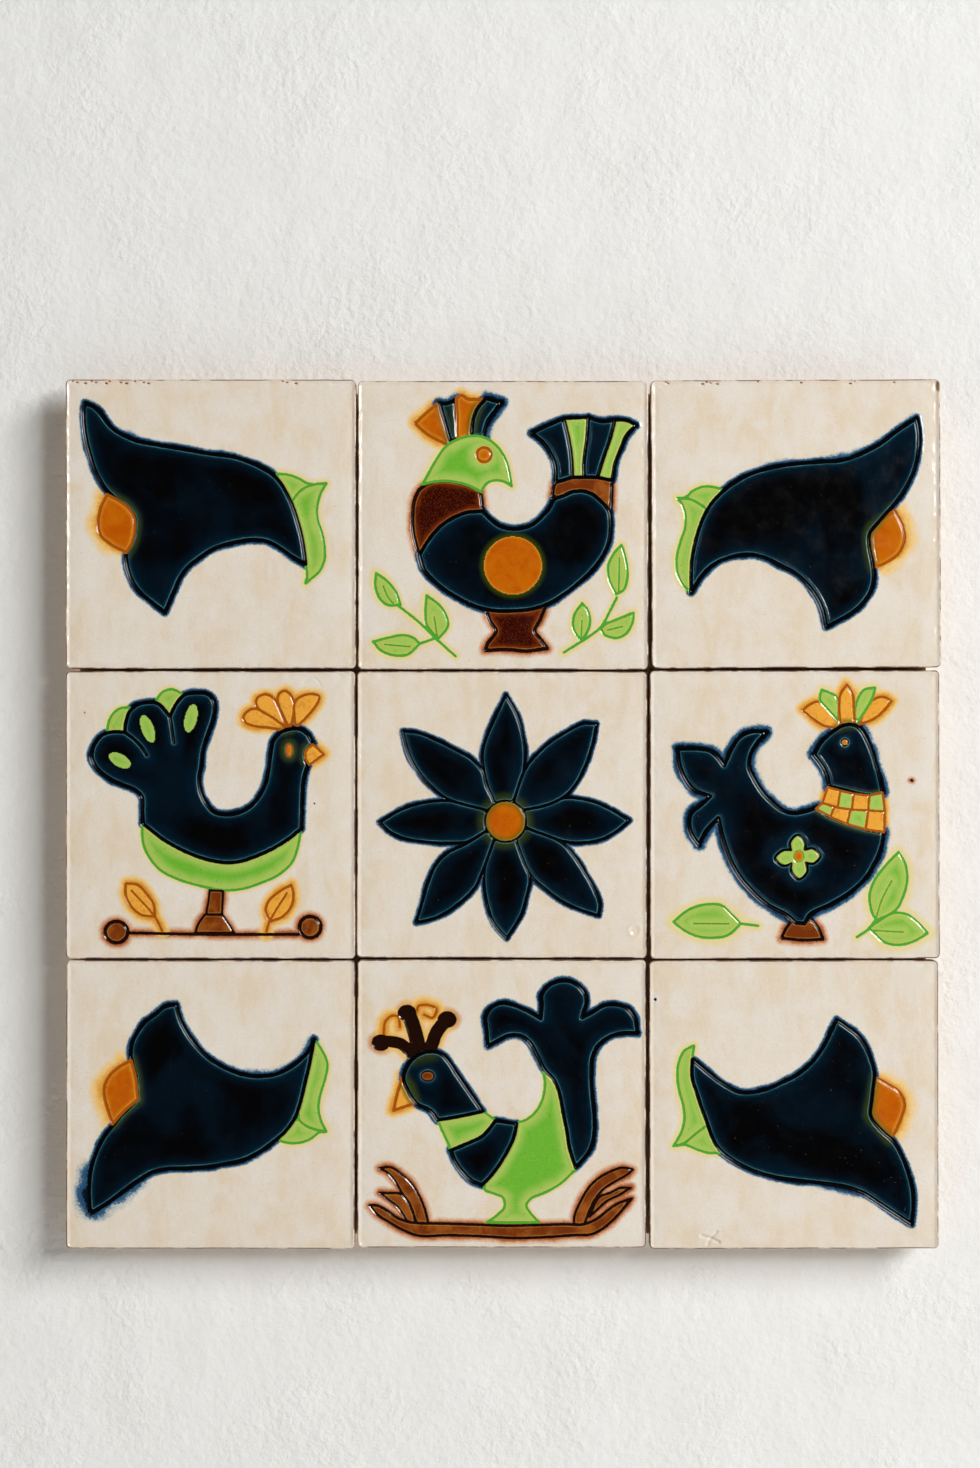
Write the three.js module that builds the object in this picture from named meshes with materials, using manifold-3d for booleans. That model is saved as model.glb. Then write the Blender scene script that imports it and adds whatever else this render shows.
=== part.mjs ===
// A wall panel of nine glazed tiles, bedded on a plywood board that hangs on two steel rings.
//
// Millimetres. +Z is up, +X is to the right of someone who faces the panel, and the glaze looks along -Y.
// The origin is on the face of the wall, behind the middle of the panel, so every piece has y <= 0.
// "Left" and "right" in the names are those of someone who faces the panel.

import * as THREE from "three";
import { mergeVertices } from "three/addons/utils/BufferGeometryUtils.js";
import Module from "manifold-3d";

const wasm = await Module();
wasm.setup();

// Layers, from the wall to the glaze. Quarters of a millimetre keep the faces that touch exactly level.
const WALL_GAP = 4.5;
const BOARD_THICKNESS = 5;
const BED_THICKNESS = 1.25;
const TILE_THICKNESS = 7;

// Tiles
const TILE_WIDTH = 100;
const TILE_HEIGHT = 99.4;
const TILE_PITCH_X = 100.8;
const TILE_PITCH_Z = 100;
const TILE_CORNER_RADIUS = 1.7;
const TILE_EDGE_ROUNDING = 1.25;

// Each tile was cut and laid by hand. wider and taller are what it adds to the common size, right and up
// move it from its place in the grid, and turn is in degrees, anticlockwise as seen from the front.
const TILES = [
  { place: "top_left", column: -1, row: 1, wider: 0.2, taller: 0.4, right: 0, up: 0.1, turn: 0 },
  { place: "top_middle", column: 0, row: 1, wider: 0.2, taller: 0.2, right: 0, up: -0.3, turn: 0 },
  { place: "top_right", column: 1, row: 1, wider: -0.1, taller: 0, right: 0.2, up: 0.2, turn: 0.25 },
  { place: "middle_left", column: -1, row: 0, wider: -0.1, taller: -0.2, right: -0.1, up: -0.2, turn: 0 },
  { place: "centre", column: 0, row: 0, wider: 0.1, taller: -0.6, right: -0.4, up: -0.1, turn: -0.1 },
  { place: "middle_right", column: 1, row: 0, wider: 0, taller: 0, right: -0.2, up: -0.1, turn: 0.1 },
  { place: "bottom_left", column: -1, row: -1, wider: -0.4, taller: 0.1, right: -0.1, up: -0.1, turn: -0.1 },
  { place: "bottom_middle", column: 0, row: -1, wider: -0.4, taller: -0.1, right: -0.5, up: 0.2, turn: 0 },
  { place: "bottom_right", column: 1, row: -1, wider: -0.2, taller: 0.1, right: -0.5, up: -0.1, turn: 0.1 },
];

// Adhesive beds and the board stand back from the tile edges
const BED_INSET = 5;
const BED_CORNER_RADIUS = 5;
const BOARD_INSET = 4;
const BOARD_CORNER_RADIUS = 1;

// Strap hangers: a steel strap, screwed to the board, whose top curls round the straight bar of a ring
const HANGER_X = 90;
const KNUCKLE_Z = 112;
const STRAP_THICKNESS = 0.8;
const STRAP_WIDTH = 12;
const STRAP_LENGTH = 28;
const KNUCKLE_WIDTH = 10;
const KNUCKLE_NECK_DROP = 4;
const KNUCKLE_SHOULDER = 1.5;
const KNUCKLE_RUNNING_GAP = 0.3;
const CURL_END = THREE.MathUtils.degToRad(-115);
const SCREW_DROPS = { upper: 8, lower: 22 };

// D rings of round wire, bent from one length whose ends meet inside the knuckle
const RING_WIRE_RADIUS = 1;
const RING_HALF_WIDTH = 8.6;
const RING_DEPTH = 15;
const RING_BEND_RADIUS = 2;
const RING_BUTT_GAP = 0.1;
const RING_STEPS = 36;
const RING_SECTION_SEGMENTS = 5;

// Pan-head wood screws
const SCREW_LENGTH = 5;
const SCREW_CORE_RADIUS = 1.2;
const SCREW_THREAD_RADIUS = 1.5;
const SCREW_POINT_LENGTH = 1.4;
const SCREW_POINT_RADIUS = 0.3;
const SCREW_HEAD_RADIUS = 2.75;
const SCREW_HEAD_HEIGHT = 1.4;
const SCREW_RIM_HEIGHT = 0.6;
const SCREW_DOME_RADIUS = 2.5;
const SCREW_DOME_HEIGHT = 1.05;
const SCREW_CROWN_RADIUS = 1.8;
const RECESS_LENGTH = 2.8;
const RECESS_WIDTH = 0.7;
const RECESS_DEPTH = 0.8;
const SCREW_HOLE_CLEARANCE = 0.25;
const PILOT_SPARE_DEPTH = 0.2;

// Rubber bumpers, stuck to the corners of the board
const BUMPER_X = 134;
const BUMPER_Z = 133;
const BUMPER_BASE_RADIUS = 5;
const BUMPER_FACE_RADIUS = 3.6;
const BUMPER_ROUNDING = 0.7;

// Facets of the round shapes, and how far cutters run past what they cut
const ROUND_SEGMENTS = 24;
const CURL_SEGMENTS = 8;
const CORNER_SEGMENTS = 2;
const ROUNDING_SEGMENTS = 3;
const CUT_OVERRUN = 1;
const MERGE_DISTANCE = 1e-5;

// Looks
const CREAM_GLAZE = { color: 0xe1d4c6, roughness: 0.12, metalness: 0 };
const ADHESIVE = { color: 0xb9b4aa, roughness: 0.9, metalness: 0 };
const PLYWOOD = { color: 0xc79f6b, roughness: 0.7, metalness: 0 };
const ZINC_STEEL = { color: 0xc2c4c6, roughness: 0.35, metalness: 1 };
const BLACK_RUBBER = { color: 0x202020, roughness: 0.85, metalness: 0 };

// Derived places
const BOARD_BACK = -WALL_GAP;
const BOARD_FRONT = BOARD_BACK - BOARD_THICKNESS;
const TILE_BACK = BOARD_FRONT - BED_THICKNESS;
const STRAP_BACK = BOARD_BACK + STRAP_THICKNESS;
const KNUCKLE_INNER_RADIUS = RING_WIRE_RADIUS + KNUCKLE_RUNNING_GAP;
const KNUCKLE_OUTER_RADIUS = KNUCKLE_INNER_RADIUS + STRAP_THICKNESS;
const RING_AXIS_Y = BOARD_BACK + KNUCKLE_OUTER_RADIUS;
const SIDES = { left: -1, right: 1 };

const panel = new THREE.Group();

// Names a piece, gives it its own material, and puts it in the panel
function place(name, geometry, look, x, y, z) {
  const mesh = new THREE.Mesh(geometry, new THREE.MeshStandardMaterial(look));
  mesh.name = name;
  mesh.position.set(x, y, z);
  panel.add(mesh);
  return mesh;
}

function solidOf(geometry) {
  const bare = geometry.clone();
  bare.deleteAttribute("normal");
  bare.deleteAttribute("uv");
  const merged = mergeVertices(bare, MERGE_DISTANCE);
  const vertProperties = new Float32Array(merged.attributes.position.array);
  const triVerts = new Uint32Array(merged.index.array);
  return new wasm.Manifold(new wasm.Mesh({ numProp: 3, vertProperties, triVerts }));
}

function geometryOf(solid) {
  const mesh = solid.getMesh();
  const geometry = new THREE.BufferGeometry();
  geometry.setAttribute("position", new THREE.BufferAttribute(new Float32Array(mesh.vertProperties), 3));
  geometry.setIndex(new THREE.BufferAttribute(new Uint32Array(mesh.triVerts), 1));
  geometry.computeVertexNormals();
  return geometry;
}

function roundedRectangle(width, height, radius) {
  const right = width / 2;
  const top = height / 2;
  const shape = new THREE.Shape();
  shape.moveTo(radius - right, -top);
  shape.absarc(right - radius, radius - top, radius, -Math.PI / 2, 0, false);
  shape.absarc(right - radius, top - radius, radius, 0, Math.PI / 2, false);
  shape.absarc(radius - right, top - radius, radius, Math.PI / 2, Math.PI, false);
  shape.absarc(radius - right, radius - top, radius, Math.PI, Math.PI * 1.5, false);
  return shape;
}

// A slab whose outline lies in X and Z. Its back is at y = 0 and it grows towards the front, along -Y.
function slab(shape, thickness, rounding = 0, curveSegments = CORNER_SEGMENTS) {
  const geometry = new THREE.ExtrudeGeometry(shape, {
    depth: thickness - 2 * rounding,
    bevelEnabled: rounding > 0,
    bevelThickness: rounding,
    bevelSize: rounding,
    bevelSegments: ROUNDING_SEGMENTS,
    curveSegments,
  });
  geometry.translate(0, 0, rounding);
  geometry.rotateX(Math.PI / 2);
  return geometry;
}

// A cylinder along Y from y = 0 towards the front
function plug(radius, length) {
  const geometry = new THREE.CylinderGeometry(radius, radius, length, ROUND_SEGMENTS);
  geometry.translate(0, -length / 2, 0);
  return geometry;
}

function turned(profile) {
  const points = profile.map(([radius, y]) => new THREE.Vector2(radius, y));
  return new THREE.LatheGeometry(points, ROUND_SEGMENTS);
}

// Glazed tile with soft edges, each a little different
function addTile(tile) {
  const width = TILE_WIDTH + tile.wider - 2 * TILE_EDGE_ROUNDING;
  const height = TILE_HEIGHT + tile.taller - 2 * TILE_EDGE_ROUNDING;
  const face = roundedRectangle(width, height, TILE_CORNER_RADIUS - TILE_EDGE_ROUNDING);
  const x = tile.column * TILE_PITCH_X + tile.right;
  const z = tile.row * TILE_PITCH_Z + tile.up;
  const geometry = slab(face, TILE_THICKNESS, TILE_EDGE_ROUNDING);
  const mesh = place(`tile_${tile.place}`, geometry, CREAM_GLAZE, x, TILE_BACK, z);
  mesh.rotation.y = THREE.MathUtils.degToRad(-tile.turn);
}

// Flat bed of set adhesive behind each tile
function addBed(tile) {
  const width = TILE_WIDTH - 2 * BED_INSET;
  const height = TILE_HEIGHT - 2 * BED_INSET;
  const outline = roundedRectangle(width, height, BED_CORNER_RADIUS);
  const x = tile.column * TILE_PITCH_X;
  const z = tile.row * TILE_PITCH_Z;
  place(`bed_${tile.place}`, slab(outline, BED_THICKNESS), ADHESIVE, x, BOARD_FRONT, z);
}

// Plywood board with a blind pilot hole for each hanger screw
function addBoard() {
  const width = 2 * TILE_PITCH_X + TILE_WIDTH - 2 * BOARD_INSET;
  const height = 2 * TILE_PITCH_Z + TILE_HEIGHT - 2 * BOARD_INSET;
  let board = solidOf(slab(roundedRectangle(width, height, BOARD_CORNER_RADIUS), BOARD_THICKNESS));
  const depth = SCREW_LENGTH - STRAP_THICKNESS + PILOT_SPARE_DEPTH;
  for (const side of Object.values(SIDES)) {
    for (const drop of Object.values(SCREW_DROPS)) {
      const hole = plug(SCREW_THREAD_RADIUS, depth + CUT_OVERRUN);
      hole.translate(side * HANGER_X, CUT_OVERRUN, KNUCKLE_Z - drop);
      board = board.subtract(solidOf(hole));
    }
  }
  place("backing_board", geometryOf(board), PLYWOOD, 0, BOARD_BACK, 0);
}

// Side view of the strap: y away from the board, then z. The knuckle's axis is at z = 0.
function strapSideView() {
  const shape = new THREE.Shape();
  shape.moveTo(0, -STRAP_LENGTH);
  shape.lineTo(0, 0);
  shape.absarc(KNUCKLE_OUTER_RADIUS, 0, KNUCKLE_OUTER_RADIUS, Math.PI, CURL_END, true);
  shape.absarc(KNUCKLE_OUTER_RADIUS, 0, KNUCKLE_INNER_RADIUS, CURL_END, Math.PI, false);
  shape.lineTo(STRAP_THICKNESS, -STRAP_LENGTH);
  return shape;
}

// Rear view of the strap: a round foot, straight sides, and shoulders in to the narrower knuckle
function strapRearView() {
  const half = STRAP_WIDTH / 2;
  const halfKnuckle = KNUCKLE_WIDTH / 2;
  const top = KNUCKLE_OUTER_RADIUS + CUT_OVERRUN;
  const shape = new THREE.Shape();
  shape.absarc(0, half - STRAP_LENGTH, half, Math.PI, Math.PI * 2, false);
  shape.lineTo(half, -KNUCKLE_NECK_DROP - KNUCKLE_SHOULDER);
  shape.lineTo(halfKnuckle, -KNUCKLE_NECK_DROP);
  shape.lineTo(halfKnuckle, top);
  shape.lineTo(-halfKnuckle, top);
  shape.lineTo(-halfKnuckle, -KNUCKLE_NECK_DROP);
  shape.lineTo(-half, -KNUCKLE_NECK_DROP - KNUCKLE_SHOULDER);
  return shape;
}

function strapGeometry() {
  const bent = new THREE.ExtrudeGeometry(strapSideView(), {
    depth: STRAP_WIDTH,
    bevelEnabled: false,
    curveSegments: CURL_SEGMENTS,
  });
  bent.translate(0, 0, -STRAP_WIDTH / 2);
  const sideways = new THREE.Matrix4().makeBasis(
    new THREE.Vector3(0, 1, 0),
    new THREE.Vector3(0, 0, 1),
    new THREE.Vector3(1, 0, 0),
  );
  bent.applyMatrix4(sideways);

  const blank = slab(strapRearView(), 2 * KNUCKLE_OUTER_RADIUS + 2 * CUT_OVERRUN, 0, CURL_SEGMENTS);
  blank.translate(0, 2 * KNUCKLE_OUTER_RADIUS + CUT_OVERRUN, 0);
  let strap = solidOf(bent).intersect(solidOf(blank));
  for (const drop of Object.values(SCREW_DROPS)) {
    const hole = plug(SCREW_THREAD_RADIUS + SCREW_HOLE_CLEARANCE, STRAP_THICKNESS + 2 * CUT_OVERRUN);
    hole.translate(0, STRAP_THICKNESS + CUT_OVERRUN, -drop);
    strap = strap.subtract(solidOf(hole));
  }
  return geometryOf(strap);
}

// Centre line of the wire, hanging down from its straight bar
function ringPath() {
  const corner = RING_HALF_WIDTH - RING_BEND_RADIUS;
  const legEnd = RING_HALF_WIDTH - RING_DEPTH;
  const line = new THREE.Path();
  line.moveTo(RING_BUTT_GAP / 2, 0);
  line.lineTo(corner, 0);
  line.absarc(corner, -RING_BEND_RADIUS, RING_BEND_RADIUS, Math.PI / 2, 0, true);
  line.lineTo(RING_HALF_WIDTH, legEnd);
  line.absarc(0, legEnd, RING_HALF_WIDTH, 0, Math.PI, true);
  line.lineTo(-RING_HALF_WIDTH, -RING_BEND_RADIUS);
  line.absarc(-corner, -RING_BEND_RADIUS, RING_BEND_RADIUS, Math.PI, Math.PI / 2, true);
  line.lineTo(-RING_BUTT_GAP / 2, 0);
  const points = line.getSpacedPoints(RING_STEPS).map((point) => new THREE.Vector3(point.x, 0, point.y));
  return new THREE.CatmullRomCurve3(points, false, "centripetal");
}

function ringGeometry() {
  const section = new THREE.Shape();
  section.absarc(0, 0, RING_WIRE_RADIUS, 0, Math.PI * 2, false);
  return new THREE.ExtrudeGeometry(section, {
    steps: RING_STEPS,
    curveSegments: RING_SECTION_SEGMENTS,
    extrudePath: ringPath(),
  });
}

// Screw with its head's underside at y = 0, its point towards the front and its head towards the wall
function screwGeometry() {
  const tip = -SCREW_LENGTH;
  const body = turned([
    [0, tip],
    [SCREW_POINT_RADIUS, tip],
    [SCREW_CORE_RADIUS, tip + SCREW_POINT_LENGTH],
    [SCREW_CORE_RADIUS, 0],
    [SCREW_HEAD_RADIUS, 0],
    [SCREW_HEAD_RADIUS, SCREW_RIM_HEIGHT],
    [SCREW_DOME_RADIUS, SCREW_DOME_HEIGHT],
    [SCREW_CROWN_RADIUS, SCREW_HEAD_HEIGHT],
    [0, SCREW_HEAD_HEIGHT],
  ]);
  let screw = solidOf(body);
  for (const [width, height] of [
    [RECESS_LENGTH, RECESS_WIDTH],
    [RECESS_WIDTH, RECESS_LENGTH],
  ]) {
    const slot = new THREE.BoxGeometry(width, 2 * RECESS_DEPTH, height);
    slot.translate(0, SCREW_HEAD_HEIGHT, 0);
    screw = screw.subtract(solidOf(slot));
  }
  return geometryOf(screw);
}

function addHanger(sideName, side) {
  const x = side * HANGER_X;
  place(`hanger_${sideName}`, strapGeometry(), ZINC_STEEL, x, BOARD_BACK, KNUCKLE_Z);
  place(`ring_${sideName}`, ringGeometry(), ZINC_STEEL, x, RING_AXIS_Y, KNUCKLE_Z);
  for (const [level, drop] of Object.entries(SCREW_DROPS)) {
    place(`screw_${sideName}_${level}`, screwGeometry(), ZINC_STEEL, x, STRAP_BACK, KNUCKLE_Z - drop);
  }
}

// Bumper as thick as the gap to the wall, with a flat rear face and a rounded edge
function bumperGeometry() {
  const halfWay = BUMPER_ROUNDING * Math.SQRT1_2;
  return turned([
    [0, 0],
    [BUMPER_BASE_RADIUS, 0],
    [BUMPER_FACE_RADIUS + BUMPER_ROUNDING, WALL_GAP - BUMPER_ROUNDING],
    [BUMPER_FACE_RADIUS + halfWay, WALL_GAP - BUMPER_ROUNDING + halfWay],
    [BUMPER_FACE_RADIUS, WALL_GAP],
    [0, WALL_GAP],
  ]);
}

function addBumpers(sideName, side) {
  place(`bumper_top_${sideName}`, bumperGeometry(), BLACK_RUBBER, side * BUMPER_X, BOARD_BACK, BUMPER_Z);
  place(`bumper_bottom_${sideName}`, bumperGeometry(), BLACK_RUBBER, side * BUMPER_X, BOARD_BACK, -BUMPER_Z);
}

for (const tile of TILES) {
  addTile(tile);
  addBed(tile);
}
addBoard();
for (const [sideName, side] of Object.entries(SIDES)) {
  addHanger(sideName, side);
  addBumpers(sideName, side);
}

export default panel;
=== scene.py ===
"""Looks of the nine-tile painted ceramic wall panel.

The tile faces are modelled as fine grids: every glaze line is a real groove, drawn from a few given
points. The same drawing is kept on the mesh as distances in millimetres, and the glaze material reads them.
Drawing positions are millimetres from a tile's top left corner: the first runs right, the second runs down.
"""

import math

import bmesh
import bpy
import numpy as np
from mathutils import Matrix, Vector


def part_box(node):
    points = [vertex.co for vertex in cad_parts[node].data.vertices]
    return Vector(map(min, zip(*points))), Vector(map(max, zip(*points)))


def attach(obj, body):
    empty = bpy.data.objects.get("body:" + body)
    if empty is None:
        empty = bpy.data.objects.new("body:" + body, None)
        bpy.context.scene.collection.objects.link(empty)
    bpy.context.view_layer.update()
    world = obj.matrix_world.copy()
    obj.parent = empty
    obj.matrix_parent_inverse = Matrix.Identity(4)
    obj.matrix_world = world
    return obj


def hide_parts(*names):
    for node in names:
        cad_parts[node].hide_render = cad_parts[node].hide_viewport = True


MM = 0.001
PANEL = "panel"

# Tiles.
GRID_STEP = 0.345
CORNER_RADIUS = 1.7
EDGE_ROUNDING = 0.6
ROUNDING_STEPS = 5
SIDE_RINGS = 8
TILE_TURNS = {
    "top_right": 0.25,
    "centre": -0.1,
    "middle_right": 0.1,
    "bottom_left": -0.1,
    "bottom_right": 0.1,
}

# Relief of a tile's face.
BASE_SINK = 0.16
WAVE_HEIGHT = 0.14
BROAD_WAVE_SIZE = 19
SHORT_WAVE_SIZE = 6
LUMP_HEIGHT = 0.16
LUMP_SIZE = 2.2
LUMPY_RIM = (0.8, 3.2)
LUMP_LIFT = -0.05
PILLOW_DROP = 0.32
PILLOW_REACH = 8.0
GROOVE_DEPTHS = {"blue": 0.42, "green": 0.2, "amber": 0.26, "brown": 0.34}
GROOVE_START = -0.15
GROOVE_WALL = 0.55
LIP_HEIGHT = 0.12
LIP_REACH = 0.5
LIP_SPREAD = 0.35
CHIP_DEPTH = 0.35
RELIEF_START = 1.6
OUTLINE_WOBBLE = 0.1
WOBBLE_SIZE = 5
WOBBLE_REACH = 4
NOISE_SPAN = 120

# Hardware on the back.
RING_HALF_WIDTH = 8.6
RING_DEPTH = 15
RING_BEND = 2
RING_GAP = 0.1
RING_WIRE = 1
RING_SHRINK = 0.995
RING_SIDES = 16
RING_BEND_STEPS = 9
RING_BOW_STEPS = 41
SHARP_ANGLE = math.radians(35)
FLAT_ANGLE = math.radians(1)
WELD_DISTANCE = 0.001
PLY_THICKNESS = 1
BOARD_MIDDLE = -7.0
BOARD_HALF_THICKNESS = 2.44

# The room, in metres.
WALL_HALF_WIDTH = 1.6
WALL_TOP = 1.3
WALL_FACE = 0.0008
FLOOR_REACH = 20.0
FLOOR_LEVEL = -0.42
CAMERA_PLACE = (-0.0045, -1.2128, 0.0277)
CAMERA_LENS = 85
CAMERA_SENSOR = 36

# Drawing.
CURVE_STEP = 0.5
OVAL_STEPS = 41
INLAY_GAP = 0.3
REACH = 7.0
SHARP = "sharp corner"
THIN = 0.75
PIGMENTS = ("blue", "green", "amber", "brown")
LINE_WIDTHS = {"blue": 1.3, "green": 0.95, "amber": 1.1, "brown": 1.3}
BLEED_REACHES = {"blue": 1.8, "green": 2.2, "amber": 3.2, "brown": 2.4}

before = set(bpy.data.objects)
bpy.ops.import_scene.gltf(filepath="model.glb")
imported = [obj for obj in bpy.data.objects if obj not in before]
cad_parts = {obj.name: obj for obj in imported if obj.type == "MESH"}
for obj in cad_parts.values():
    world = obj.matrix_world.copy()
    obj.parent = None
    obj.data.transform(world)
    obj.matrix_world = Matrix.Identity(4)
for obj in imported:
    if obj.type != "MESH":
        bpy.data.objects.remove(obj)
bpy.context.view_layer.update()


# ---------------------------------------------------------------- curves

def spline_span(before, start, end, after):
    """Centripetal curve from start to end, shaped by the points on either side."""
    knots = [0.0]
    points = [before, start, end, after]
    for first, second in zip(points, points[1:]):
        knots.append(knots[-1] + max(np.linalg.norm(second - first), 1e-6) ** 0.5)
    count = max(2, int(math.ceil(np.linalg.norm(end - start) / CURVE_STEP)))
    t = np.linspace(knots[1], knots[2], count, endpoint=False)[:, None]

    def blend(a, b, t_a, t_b):
        return (a * (t_b - t) + b * (t - t_a)) / (t_b - t_a)

    a1 = blend(before, start, knots[0], knots[1])
    a2 = blend(start, end, knots[1], knots[2])
    a3 = blend(end, after, knots[2], knots[3])
    b1 = blend(a1, a2, knots[0], knots[2])
    b2 = blend(a2, a3, knots[1], knots[3])
    return blend(b1, b2, knots[1], knots[2])


def smooth_run(points):
    """Curve through points with free ends."""
    if len(points) == 2:
        return np.array(points)
    first_ghost = 2 * points[0] - points[1]
    last_ghost = 2 * points[-1] - points[-2]
    padded = [first_ghost, *points, last_ghost]
    spans = [spline_span(*padded[i:i + 4]) for i in range(len(points) - 1)]
    return np.vstack([*spans, points[-1:]])


def open_curve(marks):
    """Curve through marks; one marked SHARP starts a new smooth run."""
    points = [np.array(mark[:2], float) for mark in marks]
    corners = [i for i, mark in enumerate(marks) if len(mark) > 2 and 0 < i < len(marks) - 1]
    stops = [0, *corners, len(points) - 1]
    runs = [smooth_run(points[a:b + 1]) for a, b in zip(stops, stops[1:])]
    return np.vstack([runs[0], *[run[1:] for run in runs[1:]]])


def closed_curve(marks):
    """Closed curve through marks, smooth except at those marked SHARP."""
    corners = [i for i, mark in enumerate(marks) if len(mark) > 2]
    if corners:
        turned = [*marks[corners[0]:], *marks[:corners[0]], marks[corners[0]]]
        return open_curve(turned)
    points = [np.array(mark[:2], float) for mark in marks]
    ring = [points[-1], *points, points[0], points[1]]
    spans = [spline_span(*ring[i:i + 4]) for i in range(len(points))]
    return np.vstack([*spans, points[:1]])


def oval(u, v, half_u, half_v, turn=0.0):
    """Closed oval; turn is in degrees clockwise."""
    angles = np.linspace(0, 2 * math.pi, OVAL_STEPS)
    across = half_u * np.cos(angles)
    down = half_v * np.sin(angles)
    c, s = math.cos(math.radians(turn)), math.sin(math.radians(turn))
    return np.column_stack([u + across * c - down * s, v + across * s + down * c])


# ---------------------------------------------------------------- drawing on a tile

class Canvas:
    """Distances from every grid point of a tile to the glaze lines drawn on it."""

    def __init__(self, columns, rows):
        self.u = columns
        self.v = rows
        shape = (len(rows), len(columns))
        self.lines = {p: np.full(shape, -REACH) for p in PIGMENTS}
        self.fills = {p: np.zeros(shape) for p in PIGMENTS}
        self.bleeds = {p: np.zeros(shape) for p in PIGMENTS}
        self.dips = np.zeros(shape)
        self.chip = np.zeros(shape)
        self.grid_u, self.grid_v = np.meshgrid(columns, rows)

    def window(self, points, reach):
        low = points.min(0) - reach
        high = points.max(0) + reach
        rows = slice(*np.searchsorted(self.v, (low[1], high[1])))
        columns = slice(*np.searchsorted(self.u, (low[0], high[0])))
        return rows, columns

    def distance(self, path, reach=REACH):
        """Distance to a path, no more than reach."""
        far = np.full(self.grid_u.shape, reach)
        for start, end in zip(path, path[1:]):
            area = self.window(np.array([start, end]), reach)
            along = end - start
            to_u = self.grid_u[area] - start[0]
            to_v = self.grid_v[area] - start[1]
            share = (to_u * along[0] + to_v * along[1]) / max(along @ along, 1e-9)
            share = share.clip(0, 1)
            away = np.hypot(to_u - share * along[0], to_v - share * along[1])
            far[area] = np.minimum(far[area], away)
        return far

    def inside(self, outline):
        """True at the grid points within a closed outline."""
        within = np.zeros(self.grid_u.shape, bool)
        for start, end in zip(outline, outline[1:]):
            top, bottom = sorted((start, end), key=lambda point: point[1])
            first, last = np.searchsorted(self.v, (top[1], bottom[1]))
            for row in range(first, last):
                share = (self.v[row] - top[1]) / (bottom[1] - top[1])
                crossing = top[0] + share * (bottom[0] - top[0])
                within[row, np.searchsorted(self.u, crossing):] ^= True
        return within

    def lay_line(self, pigment, edge):
        """Adds a line whose edge distance is given, positive inside it, over the lines of other colours."""
        for other in PIGMENTS:
            if other != pigment:
                self.lines[other] = np.minimum(self.lines[other], -edge)
        self.lines[pigment] = np.maximum(self.lines[pigment], edge)

    def lay_bleed(self, pigment, edge, reach):
        share = (1 + edge / reach).clip(0, 1)
        self.bleeds[pigment] = np.maximum(self.bleeds[pigment], share)

    def stroke(self, pigment, path, width=None, bleed=None):
        """A glaze line along a path."""
        width = width or LINE_WIDTHS[pigment]
        bleed = BLEED_REACHES[pigment] if bleed is None else bleed
        edge = width / 2 - self.distance(path)
        self.lay_line(pigment, edge)
        self.lay_bleed(pigment, edge, bleed)

    def inlay(self, fill, outline, coat=1.0):
        """A filled area with a soft edge, over what was drawn before. coat is THIN where it is pale."""
        within = self.inside(outline)
        for pigment in PIGMENTS:
            self.lines[pigment][within] = -REACH
            self.fills[pigment][within] = 0
        self.lines[fill][within] = -INLAY_GAP - self.distance(outline)[within]
        self.fills[fill][within] = coat

    def zone(self, fill, outline, line=None, width=None, bleed=None, coat=1.0):
        """A filled area with its own outline."""
        self.inlay(fill, outline, coat)
        self.stroke(line or fill, outline, width, bleed)

    def dab(self, pigment, outline, bleed=1.5):
        """A solid spot of glaze with a little halo."""
        reach = self.distance(outline)
        edge = np.where(self.inside(outline), reach, -reach)
        self.lay_line(pigment, edge)
        self.lay_bleed(pigment, edge, bleed)

    def stain(self, pigment, path, reach, strength=1.0):
        """Colour that ran into the ground glaze beside a path."""
        share = strength * (1 - self.distance(path, reach) / reach)
        self.bleeds[pigment] = np.maximum(self.bleeds[pigment], share)

    def hollow(self, u, v, radius, depth):
        """A dip in the glaze, or a swelling when depth is negative."""
        away = np.hypot(self.grid_u - u, self.grid_v - v) / radius
        self.dips += depth * (1 - smoothstep(0.3, 1.0, away))

    def scar(self, path, half_width, depth):
        """A dent along a path, glazed over."""
        self.dips += depth * (1 - smoothstep(0, half_width, self.distance(path, 2.0)))

    def bare(self, u, v, half_u, half_v):
        """A chip that shows the clay."""
        away = np.hypot((self.grid_u - u) / half_u, (self.grid_v - v) / half_v)
        share = 1 - smoothstep(0.75, 1.05, away)
        self.chip = np.maximum(self.chip, share)
        self.dips += CHIP_DEPTH * share


def smoothstep(low, high, value):
    t = ((value - low) / (high - low)).clip(0, 1)
    return t * t * (3 - 2 * t)


# ---------------------------------------------------------------- the tile's own mesh

def stand_in(mesh, body, node):
    """Shows a mesh, named like its object, in place of a CAD node."""
    piece = bpy.data.objects.new(mesh.name, mesh)
    bpy.context.collection.objects.link(piece)
    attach(piece, body)
    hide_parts(node)
    return piece


def edge_lines(length):
    """Grid positions over a side, crowded where the face rolls over its edge."""
    roll = [EDGE_ROUNDING * (1 - math.cos(math.pi / 2 * i / ROUNDING_STEPS)) for i in range(ROUNDING_STEPS)]
    flat = length - 2 * EDGE_ROUNDING
    middle = EDGE_ROUNDING + np.linspace(0, flat, round(flat / GRID_STEP) + 1)
    return np.concatenate([roll, middle, length - np.array(roll[::-1])])


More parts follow.
